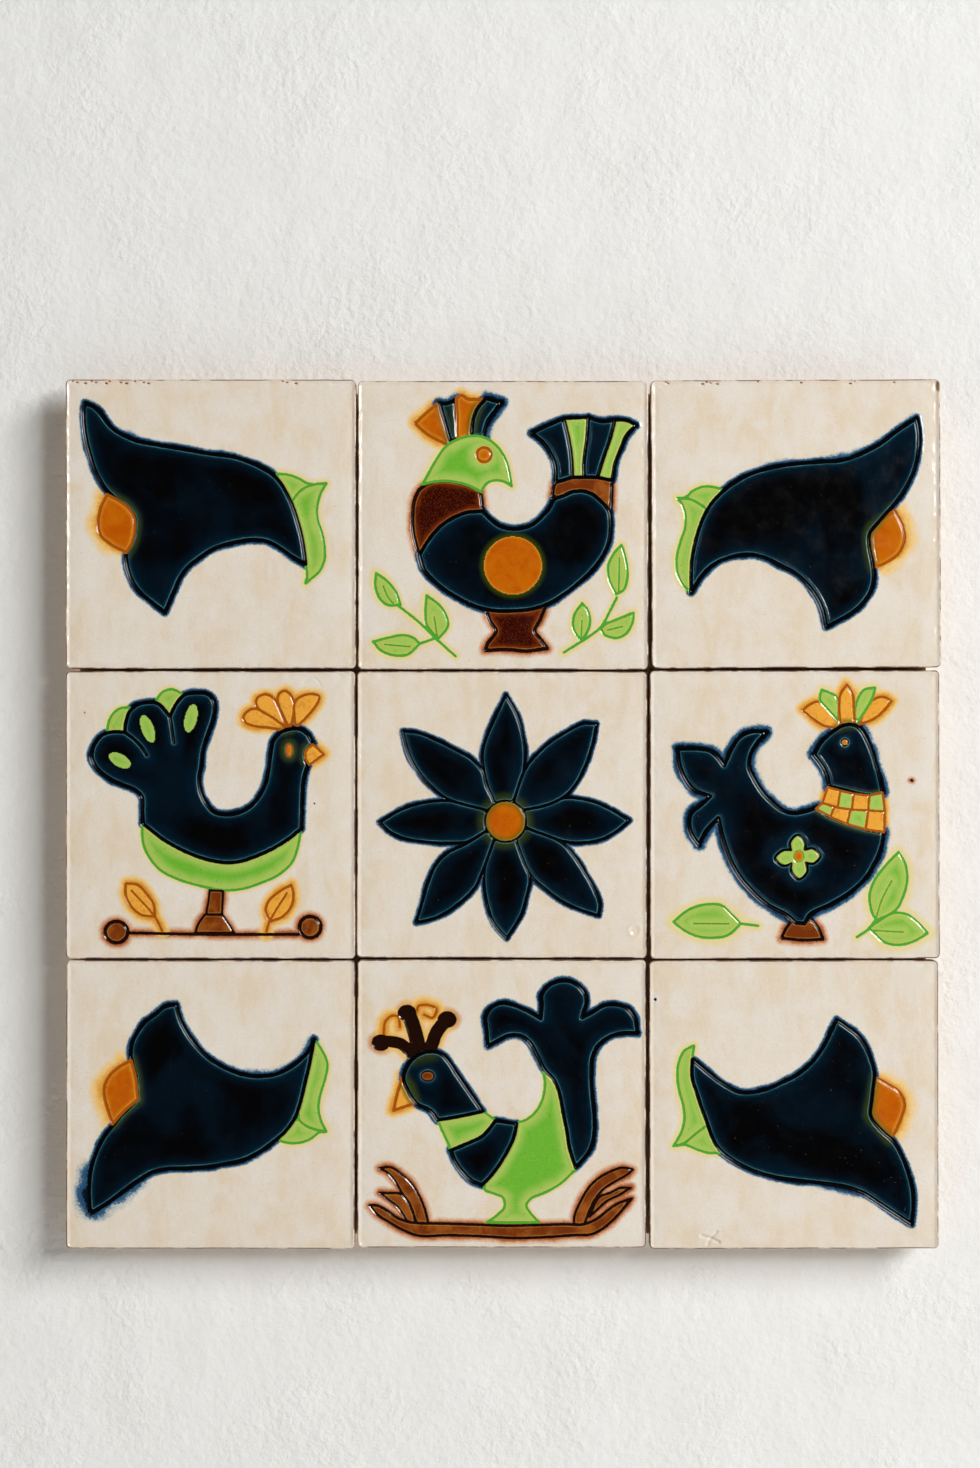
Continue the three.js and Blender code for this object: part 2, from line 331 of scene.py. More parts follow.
def soft_noise(u, v, size, seed):
    """Smooth random bumps about size millimetres across, from -1 to 1."""
    random = np.random.default_rng(seed)
    count = int(NOISE_SPAN / size) + 4
    nodes = random.uniform(-1, 1, (count, count))
    column, row = u / size + 1, v / size + 1
    i, j = column.astype(int), row.astype(int)
    s, t = smoothstep(0, 1, column - i), smoothstep(0, 1, row - j)
    near = nodes[j, i] * (1 - s) + nodes[j, i + 1] * s
    far = nodes[j + 1, i] * (1 - s) + nodes[j + 1, i + 1] * s
    return near * (1 - t) + far * t


def corner_arc(u, v, width, height):
    """Bends the square corners of the grid to arcs; also gives the distance in from the outline."""
    r = CORNER_RADIUS
    from_side_u = np.minimum(u, width - u)
    from_side_v = np.minimum(v, height - v)
    s = (1 - from_side_u / r).clip(0, 1)
    t = (1 - from_side_v / r).clip(0, 1)
    bent_s = s * np.sqrt(1 - t * t / 2)
    bent_t = t * np.sqrt(1 - s * s / 2)
    toward_u = np.where(u < width / 2, -1, 1)
    toward_v = np.where(v < height / 2, -1, 1)
    bent_u = u + toward_u * (bent_s - s) * r
    bent_v = v + toward_v * (bent_t - t) * r
    inward = np.minimum(from_side_u, from_side_v)
    in_corner = (s > 0) & (t > 0)
    inward = np.where(in_corner, r * (1 - np.hypot(bent_s, bent_t)), inward)
    return bent_u, bent_v, inward.clip(0, None)


def roll_over(inward):
    """How far the face has dropped at a distance in from its outline."""
    short = (EDGE_ROUNDING - inward).clip(0, EDGE_ROUNDING)
    return EDGE_ROUNDING - np.sqrt(EDGE_ROUNDING ** 2 - short ** 2)


def face_depth(canvas, inward, seed):
    """Depth of the face behind the tile's frontmost plane."""
    groove = sum(GROOVE_DEPTHS[p] * smoothstep(GROOVE_START, GROOVE_WALL, canvas.lines[p]) for p in PIGMENTS)
    lip = LIP_HEIGHT * np.exp(-((canvas.lines["blue"] + LIP_REACH) / LIP_SPREAD) ** 2)
    waves = 0.6 * soft_noise(canvas.grid_u, canvas.grid_v, BROAD_WAVE_SIZE, seed)
    waves = waves + 0.4 * soft_noise(canvas.grid_u, canvas.grid_v, SHORT_WAVE_SIZE, seed + 50)
    pillow = PILLOW_DROP * (1 - inward / PILLOW_REACH).clip(0, 1) ** 2
    lumps = LUMP_HEIGHT * soft_noise(canvas.grid_u, canvas.grid_v, LUMP_SIZE, seed + 80)
    lumps = lumps * (1 - smoothstep(*LUMPY_RIM, inward))
    depth = BASE_SINK + WAVE_HEIGHT * (0.5 + 0.5 * waves) + pillow + lumps.clip(LUMP_LIFT, None)
    return (depth + groove - lip + canvas.dips).clip(0, None)


def tile_piece(name, paint, seed, coat):
    """A painted tile that stands for the plain CAD tile of the same name."""
    low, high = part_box(f"tile_{name}")
    turn = math.radians(TILE_TURNS.get(name, 0.0))
    r = CORNER_RADIUS
    wide, tall = (high.x - low.x) / MM, (high.z - low.z) / MM
    lean, upright = math.sin(abs(turn)), math.cos(turn)
    width = (wide - 2 * r - (tall - 2 * r) * lean) / upright + 2 * r
    height = (tall - 2 * r - (wide - 2 * r) * lean) / upright + 2 * r
    thickness = (high.y - low.y) / MM
    centre = (low + high) / 2

    canvas = Canvas(edge_lines(width), edge_lines(height))
    paint(canvas)
    u, v, inward = corner_arc(canvas.grid_u, canvas.grid_v, width, height)
    depth = roll_over(inward) + face_depth(canvas, inward, seed) * smoothstep(0, RELIEF_START, inward)

    # The outline wanders inwards a little, as pressed clay does.
    wander = 0.5 + 0.5 * soft_noise(canvas.grid_u, canvas.grid_v, WOBBLE_SIZE, seed + 20)
    pull = OUTLINE_WOBBLE * wander * (1 - smoothstep(0, WOBBLE_REACH, inward))
    u = u + pull * (width / 2 - u) / (width / 2)
    v = v + pull * (height / 2 - v) / (height / 2)

    rows, columns = depth.shape
    face = np.column_stack([(u - width / 2).ravel(), depth.ravel(), (height / 2 - v).ravel()])
    rim = rim_order(rows, columns)
    levels = np.linspace(EDGE_ROUNDING, thickness, SIDE_RINGS + 1)[1:]
    points = [face]
    for level in levels:
        ring = face[rim].copy()
        ring[:, 1] = level
        points.append(ring)
    points = np.vstack(points)
    turned = points.copy()
    turned[:, 0] = points[:, 0] * upright - points[:, 2] * math.sin(turn)
    turned[:, 2] = points[:, 0] * math.sin(turn) + points[:, 2] * upright
    turned = turned * MM + np.array([centre.x, low.y, centre.z])

    mesh = bpy.data.meshes.new(f"painted_tile_{name}")
    mesh.from_pydata(turned, [], tile_faces(rows, columns, rim, len(levels)))
    mesh.polygons.foreach_set("use_smooth", [True] * len(mesh.polygons))
    keep_drawing(mesh, canvas, inward, rim, levels)
    mesh.materials.append(coat)
    stand_in(mesh, PANEL, f"tile_{name}")


def rim_order(rows, columns):
    """Indices of the face's outermost points, in order round it."""
    index = np.arange(rows * columns).reshape(rows, columns)
    return np.concatenate([index[0, :-1], index[:-1, -1], index[-1, :0:-1], index[:0:-1, 0]])


def tile_faces(rows, columns, rim, ring_count):
    index = np.arange(rows * columns).reshape(rows, columns)
    corners = (index[:-1, :-1], index[1:, :-1], index[1:, 1:], index[:-1, 1:])
    faces = np.stack(corners, axis=-1).reshape(-1, 4).tolist()
    upper = rim
    for ring in range(ring_count):
        lower = rows * columns + ring * len(rim) + np.arange(len(rim))
        sides = (upper, np.roll(upper, -1), np.roll(lower, -1), lower)
        faces += np.stack(sides, axis=-1).tolist()
        upper = lower
    faces.append(upper.tolist())
    return faces


def keep_drawing(mesh, canvas, inward, rim, levels):
    """Puts the drawing on the mesh, where the glaze material reads it."""
    def carry(values):
        flat = values.ravel()
        return np.concatenate([flat, np.tile(flat[rim], len(levels))])

    def keep_scalar(name, values):
        mesh.attributes.new(name, "FLOAT", "POINT").data.foreach_set("value", values.astype(np.float32))

    def keep_three(name, fields):
        stacked = np.column_stack([carry(fields[p]) for p in PIGMENTS[:3]]).astype(np.float32)
        mesh.attributes.new(name, "FLOAT_VECTOR", "POINT").data.foreach_set("vector", stacked.ravel())

    keep_three("lines", canvas.lines)
    keep_three("fills", canvas.fills)
    keep_three("bleeds", canvas.bleeds)
    keep_scalar("line_brown", carry(canvas.lines["brown"]))
    keep_scalar("fill_brown", carry(canvas.fills["brown"]))
    keep_scalar("bleed_brown", carry(canvas.bleeds["brown"]))
    keep_scalar("chip", carry(canvas.chip))
    down_the_side = np.repeat(-levels, len(rim))
    keep_scalar("edge", np.concatenate([inward.ravel(), down_the_side]))


# ---------------------------------------------------------------- corner tiles: a dark sweep with leaves

def pitted_edge(tile, places):
    """Dark pits along the top edge, where the glaze crawled off the clay."""
    for number, u in enumerate(places):
        v = 0.6 + 0.35 * (number % 3)
        tile.dab("brown", oval(u, v, 0.25 + 0.12 * (number % 3), 0.18), bleed=0.3)
        tile.hollow(u, v, 0.9, 0.25)


def paint_top_left(tile):
    tile.zone("green", closed_curve([
        (73, 32.6, SHARP), (76.7, 32.9), (80, 34), (83.3, 35.8), (86, 36.3, SHARP),
        (83.3, 37.1), (80.7, 38.7), (78.3, 41.7, SHARP), (74, 42, SHARP),
    ]))
    tile.zone("green", closed_curve([
        (78.3, 41.7, SHARP), (80.7, 38.7), (83.3, 37), (87.3, 36), (89.9, 35.9, SHARP), (87.7, 40),
        (86.7, 44.7), (87, 48.7), (88.5, 53.3), (89.3, 58), (89.3, 62), (87.7, 66), (85.3, 68.3),
        (82.7, 70.4, SHARP), (83.3, 67.7), (82.8, 63.7, SHARP), (76, 52),
    ]))
    tile.zone("blue", closed_curve([
        (6.8, 8.2, SHARP), (10.3, 10), (16, 16.7), (20, 19.3), (24.7, 21.3), (30, 22.3), (40, 24),
        (50, 25.7), (58, 26.8), (66, 29.7), (72.7, 34), (77.3, 41.3), (80.7, 51.3), (82, 57.3),
        (82.8, 63.7, SHARP), (78, 61), (73.3, 57.7), (70, 56), (66, 55.3), (62, 55.5), (54, 57.3),
        (50, 59), (46, 61.7), (42, 65), (39.3, 68.7), (37.3, 73.3), (34.3, 80.3, SHARP), (30, 77),
        (26, 73.7), (23.3, 70), (21.7, 66), (21, 62), (21.3, 59.3), (23, 56), (23.9, 51.3), (23.7, 47.3),
        (21.3, 44), (18, 41.7), (14.7, 38.7), (12.3, 35.3), (10, 30.7), (8.7, 26.7), (7.3, 21.3),
        (6.5, 16), (6.3, 10.7),
    ]))
    tile.zone("amber", closed_curve([
        (14.3, 39.7, SHARP), (12, 44.7), (11.2, 50), (11.9, 53.5), (15.3, 56.7), (21, 59.7, SHARP),
        (23, 56), (23.9, 51.3), (23.5, 47.2), (21.3, 44), (18, 41.7),
    ]))
    tile.stain("blue", open_curve([(8, 9), (16, 16.7), (25, 21.2)]), 3.0, 0.8)
    tile.stain("amber", open_curve([(14, 41), (11.5, 50), (15, 56)]), 6.5)
    pitted_edge(tile, (2.5, 4, 6.8, 9, 10.5, 14, 15.2, 19, 21, 24, 27, 28.5, 75, 76.4, 79.5))


def paint_top_right(tile):
    tile.zone("green", closed_curve([
        (9, 40.7, SHARP), (12, 40.3), (14.7, 38), (18.7, 36.7), (22.7, 37.2), (25.3, 38.3, SHARP),
        (22, 45), (19.3, 44.7, SHARP), (16.7, 42.7), (13, 41),
    ]))
    tile.zone("green", closed_curve([
        (9, 40.9, SHARP), (13, 41), (16.7, 42.7), (19.3, 44.7, SHARP), (20, 60, SHARP), (13.9, 73.3, SHARP),
        (11, 70.7), (9, 66.7), (8.7, 61.3), (10, 56), (11.7, 50.7), (11.7, 46), (10.4, 42.4),
    ]))
    tile.zone("amber", closed_curve([
        (84, 45.3, SHARP), (86.7, 50.7), (87.3, 55.3), (85.3, 60), (81.3, 63), (76.7, 65, SHARP),
        (75.3, 58), (75.7, 52), (79.3, 48.7),
    ]))
    tile.zone("blue", closed_curve([
        (13.7, 73.2, SHARP), (13.7, 68), (14, 62), (15, 56.7), (16.3, 52), (18.7, 46), (21.3, 42),
        (25.3, 38), (30, 34.7), (34.7, 32.3), (40, 30.7), (46, 29.5), (52.7, 28.8), (60, 28.3),
        (65.3, 28), (70, 26.7), (74.7, 24.7), (80, 21.7), (84.7, 18), (91.7, 13.5, SHARP), (92.5, 18.7),
        (92.3, 24.7), (91, 30.7), (88.7, 36), (85.3, 41.3), (78, 49.7), (75.3, 53.3), (75.3, 58),
        (76.3, 63.3), (76.7, 68), (75.7, 72.7), (72.7, 77.3), (68.7, 80.7), (60.3, 85.3, SHARP),
        (59.3, 80), (57.3, 75.3), (54, 70.7), (50, 67), (44.7, 64), (40, 61.7), (35.3, 60.3), (31.3, 60.3),
        (26.7, 61.3), (22, 63.3), (18, 66.7),
    ]))
    tile.stain("blue", open_curve([(26, 37.5), (40, 30.5), (60, 28), (75, 24.5), (91, 13.5)]), 3.0, 0.85)
    tile.stain("amber", open_curve([(84, 46), (87.5, 55), (81, 63)]), 6.5)
    pitted_edge(tile, (5.2, 6, 18, 19.3, 20.7, 23, 37, 52, 69, 70.5, 84))
    tile.bare(99.4, 2.2, 1.2, 2.2)


def paint_bottom_left(tile):
    tile.zone("green", closed_curve([
        (85.7, 27.4, SHARP), (88, 30.7), (90, 35.3), (89.3, 40.7), (87.7, 46), (87, 50.7), (87.7, 54.7),
        (89.7, 59, SHARP), (86, 58.3), (82.7, 57), (80.3, 55, SHARP), (79, 42, SHARP),
    ]))
    tile.zone("green", closed_curve([
        (80.3, 55, SHARP), (82.7, 57), (86, 58.3), (89.5, 59.1, SHARP), (87.3, 59.3), (84, 61.7),
        (79.3, 63), (74.7, 62.5), (72.7, 61.4, SHARP), (74, 55, SHARP),
    ]))
    tile.zone("blue", closed_curve([
        (37.9, 15.2, SHARP), (34, 16), (30.7, 18.7), (27.3, 21.3), (24.7, 24.7), (23, 28), (22.3, 32),
        (23, 36), (24, 40), (24.7, 48, SHARP), (22.7, 50), (19.3, 53.3), (16, 57.3), (13, 61.3),
        (10.3, 66.7), (8.7, 72), (8, 78), (8.3, 87.3, SHARP), (14, 84), (19.3, 80), (24.7, 76),
        (29.3, 73.3), (34, 72), (40.7, 71.7), (48.7, 71.2), (55.3, 70.1), (61.3, 68.7), (66.7, 66),
        (71.3, 62.7), (75.3, 59.3), (78.7, 54.7), (80.7, 49.3), (82.3, 42.7), (84, 35.3),
        (85.5, 27.3, SHARP), (84, 30.7), (80.7, 34.3), (76.7, 37.3), (72, 39.3), (66, 40), (60.7, 39.3),
        (55.3, 37.3), (50, 34.3), (46, 30.7), (42.7, 26.7), (40.3, 22.7), (38.7, 18.7),
    ]))
    tile.zone("amber", closed_curve([
        (22.4, 34.5, SHARP), (18, 37), (14.3, 40.7), (13, 44.7), (13.7, 49.3), (16, 56.5, SHARP),
        (20, 52), (24.7, 48, SHARP), (24, 41),
    ]))
    tile.stain("blue", open_curve([(24, 76.5), (14, 84), (8, 87.5), (7, 80), (8, 72)]), 6.0, 0.85)
    tile.stain("blue", open_curve([(85, 28), (80, 35), (72, 39), (62, 39.5)]), 3.2, 0.85)
    tile.stain("amber", open_curve([(20, 36), (13, 44), (15, 54)]), 6.0)


def paint_bottom_right(tile):
    tile.zone("green", closed_curve([
        (15.5, 29.3, SHARP), (12.3, 31), (10.3, 34.7), (9.7, 39.3), (10.3, 44.7), (11.7, 50), (12.1, 54.7),
        (11, 59.3), (8.3, 64, SHARP), (12, 63), (15.3, 60.3), (19.7, 57, SHARP), (20, 42, SHARP),
        (14.8, 34, SHARP),
    ]))
    tile.zone("green", closed_curve([
        (8.5, 64, SHARP), (12, 63), (15.3, 60.3), (19.7, 57, SHARP), (26, 63, SHARP), (25, 66.4, SHARP),
        (20, 66.3), (16, 65), (12.3, 63.6),
    ]))
    tile.zone("amber", closed_curve([
        (78, 40.4, SHARP), (82, 42.7), (86, 45.3), (88, 49.3), (87, 54), (84.7, 59.3), (83, 61.9, SHARP),
        (79, 57.3), (76.1, 53.5), (77, 48),
    ]))
    tile.zone("blue", closed_curve([
        (15, 34, SHARP), (14.7, 37.3), (15, 41.3), (16.3, 45.3), (18, 50.7), (19.7, 55.3), (21.3, 60),
        (23.3, 64), (25.3, 66.3), (28, 68.3), (32, 70.7), (37.3, 73), (43.3, 74.7), (50, 75.7),
        (56.7, 76.5), (63.3, 77.3), (68.7, 78.3), (74, 80.3), (79.3, 83.7), (90.3, 91, SHARP),
        (91, 85.3), (90.7, 79.3), (89.3, 73.3), (87, 67.3), (84, 62.3), (80.7, 59.3), (77.7, 56),
        (76.3, 53.3), (76.7, 48.7), (77.3, 43.3), (77.7, 39.3), (76.7, 34.7), (74.7, 30), (72, 26),
        (64.7, 20.5, SHARP), (62.7, 24.7), (60, 30), (56, 35.3), (51.3, 39.3), (46, 42), (40.7, 44.3),
        (35.3, 45.5), (30.7, 45.3), (26.7, 43.3), (22, 40), (18, 36.7),
    ]))
    tile.stain("amber", open_curve([(80, 42), (88, 49), (84, 60)]), 6.5)
    tile.stain("blue", open_curve([(24, 65.5), (35, 72.5), (56, 76.8), (74, 80.5)]), 2.6, 0.8)
    tile.scar(open_curve([(18, 95), (21, 95.8), (24, 97.2)]), 0.8, 0.6)
    tile.scar(open_curve([(20, 98), (21.5, 95.5), (23.2, 93.6)]), 0.8, 0.5)
    tile.dab("blue", oval(2.1, 13.4, 0.4, 0.4), bleed=0.4)


# ---------------------------------------------------------------- centre tile: an eight-petalled flower

def paint_centre(tile):
    petals = (
        [(51.3, 8, SHARP), (44, 24.7), (43.3, 29.3), (43.7, 34), (46.3, 44, SHARP), (51.3, 48, SHARP),
         (54.3, 44, SHARP), (56.7, 38), (57.9, 31.3), (57.7, 24.7), (55.3, 15.3)],
        [(94, 51.3, SHARP), (88, 47.7), (82, 45), (76, 43.7), (70.7, 43.7), (58, 47.7, SHARP),
         (54, 51, SHARP), (59.3, 54.3, SHARP), (64.7, 56.3), (72, 58.7), (78, 59), (84, 58), (89.3, 55.3)],
        [(51.8, 92, SHARP), (47.3, 86.7), (45, 80), (44, 74), (44, 68.7), (45.3, 63.3), (47.3, 58.3, SHARP),
         (51.3, 54, SHARP), (56, 59.3, SHARP), (59.7, 71.3), (58.7, 77.3), (56.7, 84)],
        [(7.9, 52.1, SHARP), (11.3, 55.3), (16.7, 57.7), (24.7, 59), (31.3, 59.2), (38, 58.8),
         (44.3, 55.3, SHARP), (48, 52, SHARP), (44, 47.7, SHARP), (38, 46), (32.7, 44.7), (27.3, 44.7),
         (21.3, 45.7), (14.7, 48)],
        [(82.7, 18, SHARP), (78, 18), (71.3, 21.3), (64.7, 26), (58.3, 33.3), (54.3, 44, SHARP),
         (54, 49, SHARP), (58, 47.7, SHARP), (64.7, 46.3), (70.7, 43.7), (74.7, 40), (78.7, 32.7),
         (81.3, 24.7)],
        [(83.5, 84.2, SHARP), (83.7, 80), (82, 75.3), (78.7, 69.3), (74.7, 63.3), (70.7, 59),
         (59.3, 54.3, SHARP), (54, 54, SHARP), (55.3, 59.3, SHARP), (57.3, 64.7), (60, 70.3),
         (64.7, 74.7), (70, 78.7), (76.7, 82)],
        [(20.5, 86.7, SHARP), (28, 84.7), (35.3, 80), (40.7, 74.7), (43.3, 69.3), (47.3, 58.3, SHARP),
         (49, 54, SHARP), (44.3, 55.3, SHARP), (38, 59.3), (31.3, 62.7), (27.3, 66.7), (24.7, 72.7),
         (22.7, 79.3)],
        [(15.8, 20.7, SHARP), (18, 28.7), (21.3, 34.7), (26, 40), (31.3, 44), (44, 47.7, SHARP),
         (49, 49, SHARP), (46.7, 43.3, SHARP), (44.7, 39.3), (43.3, 34.3), (39.3, 30), (34, 27),
         (28, 24), (21.3, 21.3)],
    )
    for petal in petals:
        tile.zone("blue", closed_curve(petal), width=1.0, bleed=1.5)
    tile.zone("amber", oval(51.3, 51.7, 7.1, 7.1), line="blue", width=0.7)
    tile.stain("amber", oval(51.3, 51.7, 7.1, 7.1), 4.5)
    tile.hollow(96, 89.3, 3.4, -0.3)
    tile.hollow(96, 89.3, 2.5, 0.5)


# ---------------------------------------------------------------- shared pieces of the bird tiles

def sprig_leaf(tile, tip, base, side_one, side_two, rib, bleed=2.2):
    """A pointed green leaf with a midrib; both sides' points run from tip to base, without those two."""
    outline = [(*tip, SHARP), *side_one, (*base, SHARP), *side_two[::-1]]
    tile.zone("green", closed_curve(outline), bleed=bleed)
    tile.stroke("green", open_curve(rib), width=0.6)


# ---------------------------------------------------------------- top middle: a bird with a fanned tail

def paint_top_middle(tile):
    stem = [(14, 77.7), (18, 80.7), (22.7, 84.7), (26.7, 88.7), (33.7, 95)]
    tile.stroke("green", open_curve(stem))
    sprig_leaf(tile, (6.3, 66.3), (14.7, 77.3),
               [(10, 69), (13, 72.7)],
               [(6, 70.7), (7.3, 74.7), (10.3, 77.3)],
               [(8.7, 70.7), (10.3, 74.4), (12.3, 77)])
    sprig_leaf(tile, (23.7, 74), (28, 88.7),
               [(28, 77.3), (30.3, 80.7), (31, 84.7)],
               [(23.3, 80), (23.7, 84), (26.7, 88)],
               [(26.3, 81.3), (27.3, 88)])
    sprig_leaf(tile, (5.3, 90), (21.3, 90.7),
               [(10, 88.7), (15.7, 87.7), (19.3, 88.7)],
               [(8, 93), (12.7, 94.7), (17.3, 94.3)],
               [(9.3, 90.9), (18, 91.7)])
    tile.stroke("green", open_curve([(21.3, 90.7), (26.7, 88.7)]))
    stem = [(71, 93.7), (75.3, 91), (80, 88), (84, 84.7), (87, 79.3), (89.3, 74.7)]
    tile.stroke("green", open_curve(stem))
    sprig_leaf(tile, (90.9, 56.5), (89, 73.6),
               [(88, 60), (86.3, 64), (86.7, 68.7)],
               [(92.3, 61.3), (93, 67.3), (91.7, 72)],
               [(90.2, 61), (90, 72.7)])
    sprig_leaf(tile, (77.3, 76.7), (77, 89.9),
               [(74.7, 80.7), (74.3, 85.3)],
               [(79.3, 79.3), (80, 84), (78.3, 88)],
               [(77.3, 82.7), (77, 88.7)])
    sprig_leaf(tile, (95, 80), (83.7, 85.5),
               [(90, 82), (85.3, 84)],
               [(94.7, 83.3), (92.7, 87), (89.3, 88.7), (85.3, 87.7)],
               [(86, 86), (91.3, 84.7)])
    tile.zone("brown", closed_curve([
        (44.3, 79, SHARP), (45.7, 83), (47.7, 86.3), (44.7, 90.7), (44, 93, SHARP), (51.3, 92.7),
        (58, 93.2), (65.3, 92.3, SHARP), (63, 89), (61, 86.3), (62.7, 82.7), (64.7, 78, SHARP),
    ]))
    tile.zone("brown", closed_curve([
        (67, 40, SHARP), (68, 35.3), (69.3, 34.3), (73.3, 33.3), (78, 33.2), (82, 33.3),
        (87.7, 34.3, SHARP), (87.3, 44.7, SHARP), (80, 42, SHARP),
    ]), coat=THIN)
    feathers = (
        ("blue", [(68.3, 35, SHARP), (68.3, 30), (67, 26), (64, 21.3), (60, 18, SHARP), (64.7, 15.7),
                  (71, 13, SHARP), (72.7, 20), (73.7, 26.7), (74, 33.3, SHARP)]),
        ("green", [(71, 13, SHARP), (72.7, 20), (73.7, 26.7), (74, 33.3, SHARP), (78, 33.2, SHARP),
                   (78, 28), (79, 20), (79.5, 12.5, SHARP), (74.7, 12.8)]),
        ("blue", [(79.5, 12.4, SHARP), (79, 20), (78, 28), (78, 33.2, SHARP), (82.7, 33.3, SHARP),
                  (84.7, 26.7), (87, 20), (88.7, 13.4, SHARP), (84.7, 14), (82, 13.5)]),
        ("green", [(88.7, 13.4, SHARP), (87, 20), (84.7, 26.7), (82.7, 33.3, SHARP), (87.7, 34.3, SHARP),
                   (88.7, 28.7), (90.7, 23.3), (92.7, 18.7), (96, 15.3, SHARP), (92.7, 13.7)]),
    )
    for fill, feather in feathers:
        tile.zone(fill, closed_curve(feather), line="blue")
    tile.zone("brown", closed_curve([
        (21, 37.7, SHARP), (23.7, 35.7), (26.7, 34.7), (30.7, 34.5), (35.3, 35.2), (38.7, 36.3),
        (42.3, 38, SHARP), (43.3, 46, SHARP), (30, 55, SHARP), (21.3, 60.5, SHARP), (19.9, 56),
        (19, 51.3), (18.9, 46), (19.5, 41.3),
    ]))
    tile.zone("blue", closed_curve([
        (21.3, 60, SHARP), (23.7, 56), (26.7, 52), (30, 49), (34, 46.7), (38, 45.3), (43, 45, SHARP),
        (45.3, 47.3), (48.7, 50), (52, 51), (56, 51), (60, 49.7), (63.3, 47), (66, 44), (67.7, 41),
        (70.7, 39.7), (74, 38.3), (77.3, 38), (80.7, 39), (84, 41.7), (86.7, 45), (87.2, 49.3),
        (86.7, 54.7), (84.7, 60), (81.3, 64.7), (77.3, 68.7), (72, 73), (66, 76.7), (60, 78.7),
        (54, 79.3), (47.3, 79.3), (41.3, 78), (35.3, 75.3), (30, 72), (26, 68.7), (22.7, 64.7),
    ]))
    tile.inlay("amber", oval(53.5, 63.7, 10, 10))
    tile.stain("amber", oval(53.5, 63.7, 10, 10), 2.6)
    crest = (
        ("amber", [(30.7, 22, SHARP), (24, 18.5), (19.7, 14.7, SHARP), (23.7, 11), (27.3, 8, SHARP),
                   (28.7, 12), (30, 16.7), (32.5, 21.5, SHARP)]),
        ("blue", [(28.3, 8, SHARP), (31.3, 7.7), (33.7, 6.3, SHARP), (34, 12.7), (34.5, 20, SHARP),
                  (32, 20.8, SHARP), (30.3, 15)]),
        ("amber", [(34, 6, SHARP), (35.7, 5), (38, 6.3), (42.7, 6.3, SHARP), (41, 10), (39.7, 14),
                   (38.6, 19.3, SHARP), (34.3, 19.9, SHARP), (34.2, 12)]),
        ("blue", [(44.3, 6, SHARP), (47.3, 7), (49.7, 7.3, SHARP), (47.3, 10.3), (44.7, 14),
                  (43.3, 19, SHARP), (39.3, 19, SHARP), (39.7, 14), (41, 10)]),
    )
    for fill, plume in crest:
        tile.zone(fill, closed_curve(plume), bleed=3.2)
    tile.zone("green", closed_curve([
        (22.3, 35.7, SHARP), (24.7, 31.3), (27, 27.3), (30, 23), (33.3, 20.7), (37.3, 19.3), (41.3, 19),
        (44.7, 20), (47.7, 22.3), (50, 25.3), (51.7, 29.3), (53, 36.3, SHARP), (50.3, 34.7), (47.3, 34.3),
        (45, 35), (43.3, 36.7), (42.6, 38.3, SHARP), (38.7, 36.3), (35.3, 35.2), (30.7, 34.5), (26.7, 34.7),
    ]))
    tile.zone("amber", oval(43.5, 25.5, 2.5, 2.5), width=1.0)


# ---------------------------------------------------------------- middle left: a hen with a ruffled tail

